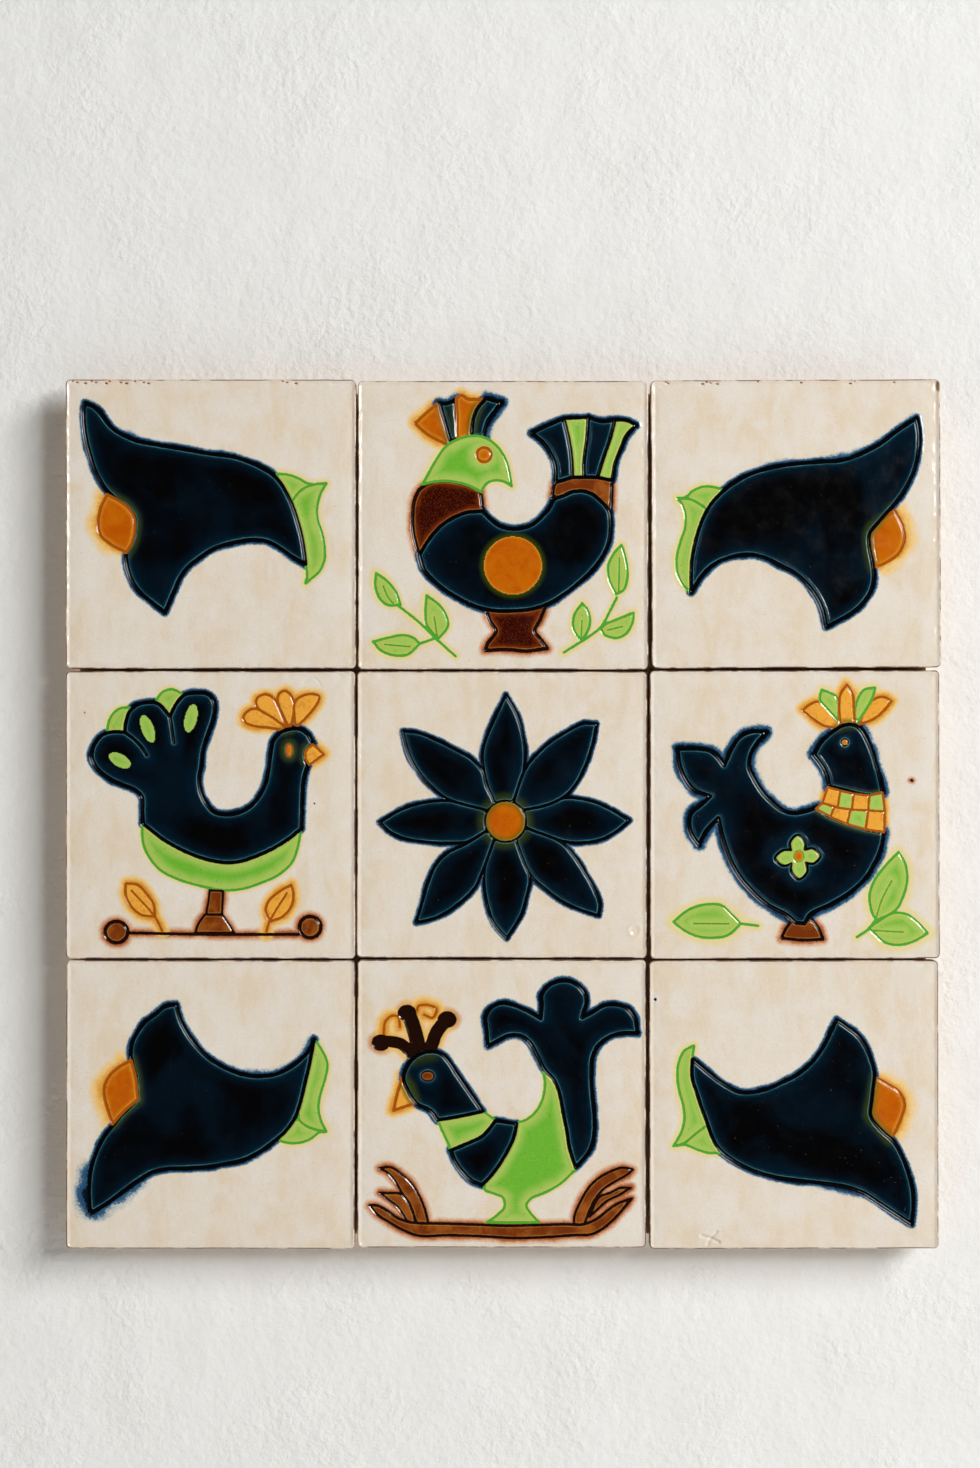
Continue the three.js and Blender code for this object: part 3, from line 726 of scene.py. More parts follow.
def paint_middle_left(tile):
    tile.zone("amber", closed_curve([
        (20.7, 73.3, SHARP), (24.7, 73.7), (28, 77), (30.3, 80.7), (30.7, 84.7, SHARP), (26, 84),
        (22.7, 81.3), (20.7, 77.3),
    ]), width=0.95, coat=THIN)
    tile.stroke("amber", open_curve([(22.7, 75.7), (30.7, 84.7), (33.3, 89.7)]), width=0.8)
    tile.zone("amber", closed_curve([
        (77.7, 73.7, SHARP), (73.3, 76.3), (70, 79.3), (69, 82.3), (70.3, 86.4, SHARP), (74.7, 84.7),
        (77.7, 81.3), (78.5, 77.3),
    ]), width=0.95, coat=THIN)
    tile.stroke("amber", open_curve([(76.3, 76.5), (70.3, 86.4), (69, 90.7)]), width=0.8)
    for patch in (
        [(14.3, 22, SHARP), (14.7, 18), (16.3, 14.7), (19.3, 12.7), (23, 12.7, SHARP), (23, 22, SHARP)],
        [(30.7, 11, SHARP), (33.3, 7.3), (36.7, 6.3), (40.5, 8, SHARP), (36, 16, SHARP)],
        [(26.3, 52, SHARP), (26.7, 59.3), (28.7, 64), (32.7, 68.7), (39.3, 72), (47.3, 74.3), (53.3, 75.5),
         (60, 75.3), (66.7, 73.3), (73.3, 70.3), (78, 66), (80, 60.7), (81.2, 54, SHARP), (55, 62, SHARP)],
    ):
        tile.zone("green", closed_curve(patch), bleed=1.5)
    tile.zone("brown", closed_curve([
        (49.7, 75.6, SHARP), (49.2, 79.3), (48.4, 84, SHARP), (53.9, 84, SHARP), (54.3, 75.8, SHARP),
    ]), width=0.8, coat=THIN)
    tile.zone("brown", closed_curve([
        (48, 84, SHARP), (45.7, 87.3), (44.7, 90.3, SHARP), (58, 90.3, SHARP), (56, 87), (53.9, 84, SHARP),
    ]), width=0.9, coat=THIN)
    tile.stroke("brown", open_curve([(22, 90.3), (50, 90.8), (80.3, 90.8)]), width=1.1)
    tile.zone("brown", oval(17.5, 90, 3.9, 3.7), coat=THIN)
    tile.zone("brown", oval(84.3, 88.3, 3.7, 3.7), coat=THIN)
    crest = (
        [(75, 18.7, SHARP), (71.3, 16), (66.7, 13.3), (63.7, 13.3), (61.3, 15.7), (62, 17.7), (65.3, 19),
         (70, 19.5), (75.5, 20.5, SHARP)],
        [(76, 19, SHARP), (73, 12), (71.3, 9), (68.7, 8), (66, 9.3), (65.9, 12.3), (71.3, 16),
         (75, 18.7, SHARP)],
        [(73, 10), (73.7, 7.7), (75.7, 6.8), (77.3, 8), (78.7, 11.3), (78.3, 16), (77.3, 20, SHARP),
         (75.3, 16)],
        [(79, 18.3, SHARP), (79, 10.7), (81.3, 8.7), (84.7, 7.9), (87.3, 8.7), (87, 10.7), (84.7, 14),
         (80, 19, SHARP)],
    )
    for petal in crest:
        tile.zone("amber", closed_curve(petal), width=0.95, bleed=3.0, coat=THIN)
    tile.zone("blue", closed_curve([
        (26.7, 52.7, SHARP), (26.5, 48), (26.3, 43.3), (24, 41), (19.3, 39), (14.7, 36.7), (10.7, 33.3),
        (9, 29.3), (10, 25.3), (12.7, 22), (16, 21), (20.3, 21, SHARP), (20.7, 18), (22, 14),
        (24.7, 11.7), (28.7, 10.7), (32, 11.3), (36, 15.7, SHARP), (37.3, 12.7), (39.3, 9.7), (41.3, 8),
        (45.3, 7.5), (49, 8), (51, 10.3), (51.3, 14), (50.3, 18), (48.7, 22.7), (47.3, 27.3),
        (46.7, 32.7), (46, 37.3), (46.7, 42), (48.7, 46), (51.3, 48.7), (55.3, 49.5), (59.3, 49),
        (63.3, 47), (66.7, 43.3), (69, 38.7), (70, 34), (70.7, 28.7), (71.7, 24), (74, 21.3), (77.3, 20),
        (80.7, 20), (83.3, 21.7), (85.3, 25.1, SHARP), (83, 27.3), (82.7, 30), (83.5, 32.5, SHARP),
        (82.3, 36), (81.7, 40.7), (81.5, 46), (81.3, 54.3, SHARP), (76.7, 58), (71.3, 61.3), (65.3, 64),
        (60, 65.7), (55.3, 66.1), (50, 65.3), (44.7, 63.7), (39.3, 61.3), (34, 58.3), (30, 55.3),
    ]))
    tile.stroke("blue", open_curve([(20.3, 21), (23.3, 23.3), (26, 26), (28, 29)]), width=1.1)
    tile.stroke("blue", open_curve([(36, 15.7), (36.7, 20), (37.3, 24.7)]), width=1.1)
    tile.inlay("green", oval(18.7, 30.8, 4.1, 2.2, 28))
    tile.inlay("green", oval(28.3, 19.9, 2.1, 5.0, -20))
    tile.inlay("green", oval(43.2, 16.3, 2.1, 5.0, 13))
    tile.zone("amber", closed_curve([
        (85.3, 25.3, SHARP), (89, 28.7, SHARP), (84, 32.3, SHARP), (82.7, 30), (83, 27.3),
    ]), width=0.9, coat=THIN)
    tile.zone("amber", oval(77.1, 27.3, 1.1, 2.1), width=0.6)
    tile.stain("blue", open_curve([(27, 44), (27, 52), (40, 61.5)]), 2.6, 0.8)
    tile.scar(open_curve([(82, 3.8), (86, 2.6), (88, 5)]), 0.5, 0.2)
    for u, v in ((6.5, 14.3), (85.8, 45.7)):
        tile.dab("brown", oval(u, v, 0.25, 0.25), bleed=0.3)


# ---------------------------------------------------------------- middle right: a long-tailed bird

def collar_row(tile, fills, upper, lower):
    """A row of four-cornered cells between two rows of corners."""
    for i, fill in enumerate(fills):
        corners = (upper[i], lower[i], lower[i + 1], upper[i + 1])
        cell = closed_curve([(*corner, SHARP) for corner in corners])
        tile.zone(fill, cell, line="amber", width=0.85, bleed=2.2, coat=THIN)


def paint_middle_right(tile):
    tile.stroke("green", open_curve([(77.3, 86.7), (75.3, 89.3), (71.3, 92)]))
    tile.stroke("green", open_curve([(31.3, 87.3), (37.3, 88)]))
    sprig_leaf(tile, (8, 86.7), (31.3, 87.3),
               [(12, 83.3), (16, 81.3), (20.7, 80.5), (24.7, 81), (28, 84)],
               [(12, 89.7), (16.7, 91.7), (21.3, 92.1), (26.7, 91.3)],
               [(15, 87.2), (27.3, 87.3)], bleed=3.6)
    sprig_leaf(tile, (85.7, 62.7), (78, 86.3),
               [(81.3, 67.3), (77.3, 72.7), (75.7, 78), (76.7, 84)],
               [(88, 66.7), (88.7, 72), (87.3, 78), (84.7, 82.7)],
               [(83.3, 72.7), (80, 79), (78, 85.3)], bleed=3.6)
    sprig_leaf(tile, (95.7, 90.7), (75.3, 89),
               [(92, 86.7), (88, 84), (84, 83.7), (78, 87)],
               [(91.3, 93.3), (86, 94.7), (80.7, 93.7), (77.3, 90.7)],
               [(76.7, 89.7), (87.3, 90.3)], bleed=3.6)
    tile.zone("brown", closed_curve([
        (49, 86, SHARP), (46.7, 89.3), (45.3, 92.3, SHARP), (52.7, 93), (59.7, 92.7, SHARP), (58.3, 89.3),
        (56, 86, SHARP),
    ]), width=1.1, coat=THIN)
    crest = (
        ("amber", [(52.7, 13.7, SHARP), (55.3, 11.7), (58.3, 10.7), (61.3, 13.3), (64, 16.7),
                   (66.3, 18.9, SHARP), (63.7, 19.7), (60, 19), (56.7, 17)]),
        ("amber", [(83.3, 10.7, SHARP), (80.7, 9.2), (77.3, 10), (74.7, 13.3), (72, 18.7, SHARP),
                   (77.3, 16.7), (81.3, 13.3)]),
        ("green", [(59.3, 6.7, SHARP), (58.7, 10), (61, 13), (65.2, 17.5, SHARP), (65.1, 12.7), (64.3, 9),
                   (62, 7.7)]),
        ("green", [(77.7, 6, SHARP), (74, 6.7), (71.7, 10), (70.7, 15.3), (71.5, 18, SHARP), (74.7, 13.3),
                   (77, 9)]),
        ("amber", [(68, 5, SHARP), (66, 7.7), (65.3, 11.3), (65.7, 18.5, SHARP), (70.7, 18.5, SHARP),
                   (70.4, 13.3), (70, 8.3)]),
    )
    for fill, plume in crest:
        tile.zone(fill, closed_curve(plume), width=0.95, bleed=3.0, coat=THIN)
    tile.zone("blue", closed_curve([
        (57.7, 47.3, SHARP), (54, 48.5), (50, 49.3), (46, 48.3), (42, 45.3), (38.7, 41.7), (36, 37.3),
        (34.3, 33.3), (34.7, 29.3), (36.7, 25.3), (40.3, 21.3, SHARP), (36, 21), (32, 22.3),
        (29.3, 25.3), (25.7, 32.7, SHARP), (23.7, 30), (20.7, 27.7), (16.7, 27), (9.7, 27, SHARP),
        (10.3, 32), (12.3, 37.3), (15.3, 41), (21, 43.3, SHARP), (17.3, 46.7), (14.3, 49.3),
        (13.7, 53.3), (14.7, 56.7), (17, 60, SHARP), (19.3, 55.3), (23.7, 50.7, SHARP), (24.7, 55.3),
        (26.7, 62), (30, 69.3), (34.7, 75.3), (40.7, 80.7), (47.3, 84.3), (50.3, 87, SHARP),
        (53.3, 87.3, SHARP), (55.3, 84), (62, 80.7), (68.7, 76.7), (74, 72), (77.3, 66.7), (79.7, 61.3),
        (80.7, 56, SHARP), (74, 54.6), (68, 52.8), (62, 50.3),
    ]), bleed=2.9)
    tile.zone("blue", closed_curve([
        (62, 40, SHARP), (61.3, 36.7), (59.7, 33), (56.7, 29, SHARP), (59.3, 24.7), (63.3, 21),
        (66.7, 19), (70, 18.7), (72.7, 20.3), (75.3, 24.7), (77.3, 30), (79, 36), (80.2, 42, SHARP),
        (78, 43), (72.7, 42.7), (67.3, 41.3),
    ]), bleed=2.9)
    collar_row(tile, ("amber", "green", "amber", "green"),
               [(61.3, 40.3), (65.7, 41.5), (70.3, 42.6), (75.7, 43.2), (80.3, 42.2)],
               [(59.6, 45.7), (64.7, 47.3), (69.7, 48), (75.3, 48.3), (81, 48.7)])
    collar_row(tile, ("green", "amber", "green", "amber"),
               [(59.6, 45.7), (63.6, 47.1), (69.2, 48), (75.3, 48.3), (81, 48.7)],
               [(57.3, 47.7), (62.3, 50.5), (68, 53), (74.4, 54.8), (80.8, 55.8)])
    tile.zone("amber", oval(67.3, 24.8, 1.2, 1.2), line="brown", width=0.5, bleed=0.3)
    tile.zone("green", closed_curve([
        (48.7, 62, SHARP), (48.3, 59.3), (50.9, 56.7), (53.5, 59.2), (53.4, 61.8, SHARP), (56.2, 61.4),
        (58.8, 64), (56.3, 66.6), (53.8, 66.3, SHARP), (54.3, 69.2), (51.5, 72), (48.8, 69.3),
        (48.8, 66.6, SHARP), (46, 67.3), (43.2, 64.7), (45.9, 62),
    ]), line="blue", width=0.9, bleed=0.6)
    tile.zone("amber", oval(51.3, 64, 1.7, 2), line="green", width=0.5, bleed=0.3)
    tile.dab("brown", oval(90.3, 38, 0.7, 0.5))


# ---------------------------------------------------------------- bottom middle: a cockerel on a branch

def paint_bottom_middle(tile):
    twigs = (
        [(7.7, 80.3, SHARP), (11.3, 80.5), (14.7, 80.7), (17.3, 83.3), (19.3, 87.3), (20.3, 92, SHARP),
         (18, 91, SHARP), (16.7, 89.3), (14, 85.3), (10.7, 82.7)],
        [(7.7, 71.9, SHARP), (11.3, 71.5), (15.3, 74), (19.3, 78), (22, 82.7), (23.7, 87.3),
         (24.7, 92, SHARP), (21, 92, SHARP), (20.3, 90.3), (18, 84), (15.3, 80.3), (13.3, 76.7),
         (10.3, 73.3)],
        [(95, 72.3, SHARP), (91.3, 71.7), (86.7, 73.3), (82.7, 75.7), (79.3, 79.3), (76.7, 84), (75, 88),
         (74.7, 92, SHARP), (78, 92, SHARP), (80, 86.7), (82, 82.7), (84.7, 79.3), (89.3, 76.3),
         (93.3, 74)],
        [(94.3, 78.7, SHARP), (90.7, 78.7), (87.3, 80.3), (83.3, 82), (80, 88.7, SHARP), (82.7, 86.3),
         (86, 83.3), (90, 81.3)],
    )
    for twig in twigs:
        tile.zone("brown", closed_curve(twig), width=0.9, coat=THIN)
    tile.zone("green", closed_curve([
        (64.3, 38.7, SHARP), (64.7, 43.3), (63.7, 48.7), (61.3, 52.7), (58, 55.3), (55.3, 56.1, SHARP),
        (54.7, 59.3), (51.3, 66.7), (47.3, 72.7), (44, 77.7), (44, 79.3), (47.3, 80.7), (50.3, 82.1),
        (50.7, 85.3), (48, 88.3), (44.7, 90.6, SHARP), (62.7, 90.6, SHARP), (59.7, 87.3), (58.3, 84.7),
        (60, 82.3), (64.7, 80.3), (70, 77.3), (75.3, 72.3, SHARP), (76, 60, SHARP), (70, 42, SHARP),
    ]), bleed=1.2)
    tile.zone("brown", closed_curve([
        (21.3, 90.8), (31.3, 91), (40.7, 91.3), (51.3, 91.7), (61.3, 91.5), (71.3, 91.2), (78, 91.2),
        (82.7, 89.3), (86, 86.7), (90, 84), (94.7, 82.3, SHARP), (92.7, 84.7), (88.7, 89.3),
        (84.7, 92.7), (80.7, 94.7), (74.7, 95), (64.7, 95.7), (54.7, 96), (41.3, 95.3), (31.3, 95),
        (21.3, 95.2), (15.3, 93), (11.3, 90.7), (6.7, 87.7), (4.3, 84.7, SHARP), (6.7, 84.7), (10, 86.3),
        (13.3, 88.7), (17.3, 90.3),
    ]), width=1.0, coat=THIN)
    tile.zone("blue", closed_curve([
        (75.3, 71.7, SHARP), (73.3, 65.3), (72.3, 59.3), (71, 52.7), (69.7, 46), (67.7, 41.3),
        (64.7, 38), (62.3, 33.3), (59.7, 28.7), (56.7, 26.3), (52.7, 26), (48.7, 27.7),
        (45, 29.9, SHARP), (44.7, 24.7), (44.3, 20), (46, 16.7), (49.3, 15), (53.3, 15.5), (58, 17.3),
        (63.3, 20.3, SHARP), (63.7, 16), (63.7, 12), (66, 9), (70, 7.3), (74, 7.7), (77.3, 10),
        (79, 13.3), (77.5, 20, SHARP), (81.3, 18), (85.3, 15.7), (89.3, 15.5), (93, 16.7), (95.7, 20),
        (96.7, 25.3, SHARP), (91.3, 25.3), (86.7, 26.7), (82.7, 30), (81, 34), (80.7, 39.3), (81, 46),
        (81.7, 53.3), (81.7, 60), (80, 66),
    ]))
    loops = (
        [(9, 26), (9.7, 21.3), (12, 19.3), (14, 19.7), (14.7, 23.3)],
        [(20.4, 18), (21.2, 16), (24.7, 15.7), (27.3, 17), (26, 20), (23, 19)],
    )
    for loop in loops:
        tile.stroke("amber", open_curve(loop), width=0.9, bleed=4.0)
    clubs = (
        ([(19.5, 33), (15, 29), (9, 28)], (8.2, 28.6), 4.0),
        ([(21.6, 32), (19.6, 24), (17.6, 18.5)], (17.2, 18.4), 5.2),
        ([(25, 31.5), (27.4, 25), (30.4, 21)], (31, 20.6), 4.6),
    )
    for path, knob, width in clubs:
        tile.stain("amber", open_curve(path), 0.5 * width + 4.0)
        tile.stroke("brown", open_curve(path), width=width, bleed=2.0)
        tile.dab("brown", oval(*knob, 3.3, 2.9), bleed=2.6)
    tile.zone("amber", closed_curve([
        (15.5, 40.5, SHARP), (13.7, 46.7), (12.5, 52, SHARP), (15.3, 51), (19.9, 49.5, SHARP),
        (18, 44, SHARP),
    ]), coat=THIN)
    tile.zone("green", closed_curve([
        (27.7, 55, SHARP), (32.7, 54.3), (38, 53.3), (43.3, 52.3, SHARP), (47.7, 55.3, SHARP), (43.3, 60.7),
        (38, 63.3), (32.3, 65.7, SHARP), (30.7, 62), (29, 58.3),
    ]), bleed=1.2)
    tile.zone("blue", closed_curve([
        (16, 41.3), (17.3, 36.7), (20.7, 33), (24.7, 31.7), (28.7, 32.3), (31.7, 35.3), (34.3, 39.3),
        (38, 44.7), (43.3, 52.3, SHARP), (38, 53.5), (32.7, 54.5), (27.8, 55.3, SHARP), (25.3, 52),
        (20.7, 49.7), (18.7, 47.3), (17, 44),
    ]))
    tile.zone("blue", closed_curve([
        (47.7, 55.5, SHARP), (51.3, 56), (55, 56.5, SHARP), (54, 61.3), (50.7, 68), (46, 74.7),
        (43, 77.7, SHARP), (39.3, 76), (36, 72.7), (33.7, 69.3), (32.3, 65.7, SHARP), (38, 63.3),
        (43.3, 60.7),
    ]))
    tile.zone("brown", oval(24.3, 40.1, 2.2, 1.7), width=0.5, bleed=0.3, coat=THIN)


# ---------------------------------------------------------------- materials

def paint_colour(red, green, blue):
    """Linear colour from everyday 0-255 values."""
    return tuple((c / 255) ** 2.2 for c in (red, green, blue)) + (1.0,)


class Look:
    """A procedural material, built up in millimetres of the piece's own space."""

    def __init__(self, name):
        self.material = bpy.data.materials.new(name)
        self.material.use_nodes = True
        self.tree = self.material.node_tree
        self.shader = self.tree.nodes["Principled BSDF"]
        place = self.add("ShaderNodeTexCoord").outputs["Object"]
        self.place = self.stretched(place, 1000, 1000, 1000)

    def add(self, kind, **settings):
        node = self.tree.nodes.new(kind)
        for name, value in settings.items():
            setattr(node, name, value)
        return node

    def feed(self, socket, value):
        if isinstance(value, bpy.types.NodeSocket):
            self.tree.links.new(value, socket)
        else:
            socket.default_value = value

    def stretched(self, vector, x, y, z):
        node = self.add("ShaderNodeVectorMath", operation="MULTIPLY")
        self.feed(node.inputs[0], vector)
        self.feed(node.inputs[1], (x, y, z))
        return node.outputs[0]

    def noise(self, size, detail=3.0, vector=None, roughness=0.55, distortion=0.0):
        """Noise whose bumps are about size millimetres, from 0 to 1."""
        node = self.add("ShaderNodeTexNoise")
        self.feed(node.inputs["Vector"], vector or self.place)
        self.feed(node.inputs["Scale"], 1 / size)
        self.feed(node.inputs["Detail"], detail)
        self.feed(node.inputs["Roughness"], roughness)
        self.feed(node.inputs["Distortion"], distortion)
        return node.outputs["Fac"]

    def spots(self, spacing, radius):
        """1 in the middle of scattered round spots, 0 outside them."""
        node = self.add("ShaderNodeTexVoronoi")
        self.feed(node.inputs["Vector"], self.place)
        self.feed(node.inputs["Scale"], 1 / spacing)
        return self.step(node.outputs["Distance"], radius / spacing, 0.4 * radius / spacing)

    def maths(self, operation, first, second=0.0, clamp=False):
        node = self.add("ShaderNodeMath", operation=operation, use_clamp=clamp)
        self.feed(node.inputs[0], first)
        self.feed(node.inputs[1], second)
        return node.outputs[0]

    def plus(self, first, second):
        return self.maths("ADD", first, second)

    def times(self, first, *others):
        for other in others:
            first = self.maths("MULTIPLY", first, other)
        return first

    def most(self, *values):
        first = values[0]
        for value in values[1:]:
            first = self.maths("MAXIMUM", first, value)
        return first

    def step(self, value, low, high, bottom=0.0, top=1.0):
        """Smooth step from bottom to top as value goes from low to high."""
        node = self.add("ShaderNodeMapRange", interpolation_type="SMOOTHSTEP")
        if low > high:
            low, high, bottom, top = high, low, top, bottom
        parts = {"Value": value, "From Min": low, "From Max": high, "To Min": bottom, "To Max": top}
        for socket, part in parts.items():
            self.feed(node.inputs[socket], part)
        return node.outputs["Result"]

    def mix(self, share, first, second):
        node = self.add("ShaderNodeMix", data_type="RGBA")
        self.feed(node.inputs["Factor"], share)
        self.feed(node.inputs[6], first)
        self.feed(node.inputs[7], second)
        return node.outputs[2]

    def attribute(self, name):
        return self.add("ShaderNodeAttribute", attribute_name=name)

    def three(self, name):
        split = self.add("ShaderNodeSeparateXYZ")
        self.feed(split.inputs[0], self.attribute(name).outputs["Vector"])
        return split.outputs[0], split.outputs[1], split.outputs[2]

    def drawn(self, plural, single):
        """The four pigments' values kept on the mesh."""
        values = (*self.three(plural), self.attribute(single).outputs["Fac"])
        return dict(zip(PIGMENTS, values))

    def bump(self, height, depth_mm, strength=1.0):
        node = self.add("ShaderNodeBump")
        self.feed(node.inputs["Height"], height)
        self.feed(node.inputs["Distance"], depth_mm * MM)
        self.feed(node.inputs["Strength"], strength)
        self.feed(self.shader.inputs["Normal"], node.outputs[0])

    def finish(self, colour, roughness, metallic=0.0):
        self.feed(self.shader.inputs["Base Color"], colour)
        self.feed(self.shader.inputs["Roughness"], roughness)
        self.feed(self.shader.inputs["Metallic"], metallic)
        return self.material


def ground_colour(look):
    """Cream glaze with upright warm streaks, tan mottling and pale clouds."""
    upright = look.stretched(look.place, 1, 1, 0.4)
    streaks = look.noise(7, 6, upright, 0.65, 0.5)
    clouds = look.noise(30, 3)
    grain = look.noise(0.6, 4, None, 0.8)
    warmth = look.plus(look.times(streaks, 0.75), look.times(clouds, 0.25))
    colour = look.mix(look.step(warmth, 0.36, 0.62), paint_colour(217, 201, 178), paint_colour(221, 212, 199))
    colour = look.mix(look.step(look.noise(11, 5), 0.45, 0.7, 0, 0.75), colour, paint_colour(222, 215, 206))
    colour = look.mix(look.step(grain, 0.45, 0.75, 0, 0.5), colour, paint_colour(201, 178, 150))
    freckles = look.spots(5.5, 0.25)
    return look.mix(look.times(freckles, 0.5), colour, paint_colour(146, 112, 80))


def bled_colour(look, colour, bleeds):
    """Colour that ran from the lines into the ground."""
    feather = look.plus(look.noise(1.5, 5, None, 0.75, 0.6), -0.5)
    fray = look.plus(look.noise(0.7, 3, None, 0.8, 0.5), -0.5)
    patches = look.plus(look.noise(8, 2), -0.5)
    uneven = look.plus(look.times(feather, 0.9), look.plus(look.times(fray, 1.2), look.times(patches, 1.7)))
    halos = (
        ("green", paint_colour(220, 202, 138), 0.05, 0.8, 0.85),
        ("brown", paint_colour(196, 126, 74), 0.05, 0.9, 0.9),
        ("brown", paint_colour(140, 66, 26), 0.6, 1.05, 0.8),
        ("amber", paint_colour(230, 188, 108), 0.02, 0.7, 0.95),
        ("amber", paint_colour(206, 132, 32), 0.5, 1.05, 0.9),
        ("blue", paint_colour(124, 158, 168), 0.2, 0.48, 0.6),
        ("blue", paint_colour(18, 74, 110), 0.4, 0.62, 0.95),
        ("blue", paint_colour(4, 24, 36), 0.7, 0.94, 1.0),
    )
    for pigment, tint, low, high, strength in halos:
        present = look.step(bleeds[pigment], 0.0, 0.3)
        spread = look.plus(bleeds[pigment], look.times(uneven, 0.5))
        colour = look.mix(look.times(look.step(spread, low, high), present, strength), colour, tint)
    return colour


def fill_colours(look, nearest, blue_line, amber_bleed, coats):
    """What each pigment looks like inside its outlines."""
    clouds = look.noise(7, 4, None, 0.6, 0.5)
    pools = look.noise(24, 3, None, 0.5, 0.4)
    fine = look.noise(1.1, 3, None, 0.65)
    uneven = look.plus(look.times(clouds, 3.0), look.times(fine, 0.9))
    middle = look.step(look.plus(look.times(nearest, -1), uneven), 2.4, 6.2)
    by_line = look.step(look.plus(nearest, look.times(fine, 1.2)), -0.9, 0.4)
    toward_line = look.step(look.plus(nearest, look.times(clouds, 4.0)), -3.2, 2.0)

    pooled = look.plus(look.times(look.step(pools, 0.42, 0.68), 0.7), look.times(toward_line, 0.75))
    blue = look.mix(look.maths("MINIMUM", pooled, 1.0), paint_colour(2, 4, 8), paint_colour(2, 26, 38))
    blue = look.mix(look.times(by_line, 0.7), blue, paint_colour(8, 50, 66))
    blue = look.mix(look.step(amber_bleed, 0.1, 1.0, 0, 0.9), blue, paint_colour(52, 62, 14))
    dust = look.times(look.spots(4.5, 0.2), look.step(clouds, 0.5, 0.6))
    blue = look.mix(look.times(dust, 0.5), blue, paint_colour(96, 104, 112))
    green = look.mix(middle, paint_colour(158, 188, 88), paint_colour(104, 172, 52))
    green = look.mix(look.times(look.step(fine, 0.5, 0.75), 0.2), green, paint_colour(178, 196, 104))
    deep = look.mix(look.step(clouds, 0.35, 0.65), paint_colour(178, 82, 4), paint_colour(188, 98, 8))
    deep = look.mix(look.times(by_line, 0.4), deep, paint_colour(212, 142, 40))
    amber = look.mix(look.step(coats["amber"], 0.8, 0.95), paint_colour(228, 160, 62), deep)
    amber = look.mix(look.times(look.step(fine, 0.5, 0.75), 0.25), amber, paint_colour(204, 122, 28))
    mottle = look.step(look.noise(2.6, 5, None, 0.7, 1.2), 0.5, 0.62)
    amber = look.mix(look.times(mottle, 0.35), amber, paint_colour(188, 94, 12))
    olive = look.step(look.plus(blue_line, look.times(fine, 1.0)), -1.7, 0.1)
    amber = look.mix(look.times(olive, 0.75), amber, paint_colour(96, 88, 18))
    heart = look.step(look.plus(look.times(nearest, -1), uneven), 1.4, 4.2)
    brown = look.mix(heart, paint_colour(116, 46, 14), paint_colour(50, 8, 2))
    thin_brown = look.mix(look.step(clouds, 0.35, 0.6), paint_colour(146, 80, 30), paint_colour(108, 48, 16))
    brown = look.mix(look.step(coats["brown"], 0.8, 0.95), thin_brown, brown)
    grit = look.step(look.noise(0.4, 2, None, 0.7), 0.5, 0.7)
    brown = look.mix(look.times(grit, 0.4), brown, paint_colour(140, 72, 26))
    return {"blue": blue, "green": green, "amber": amber, "brown": brown}


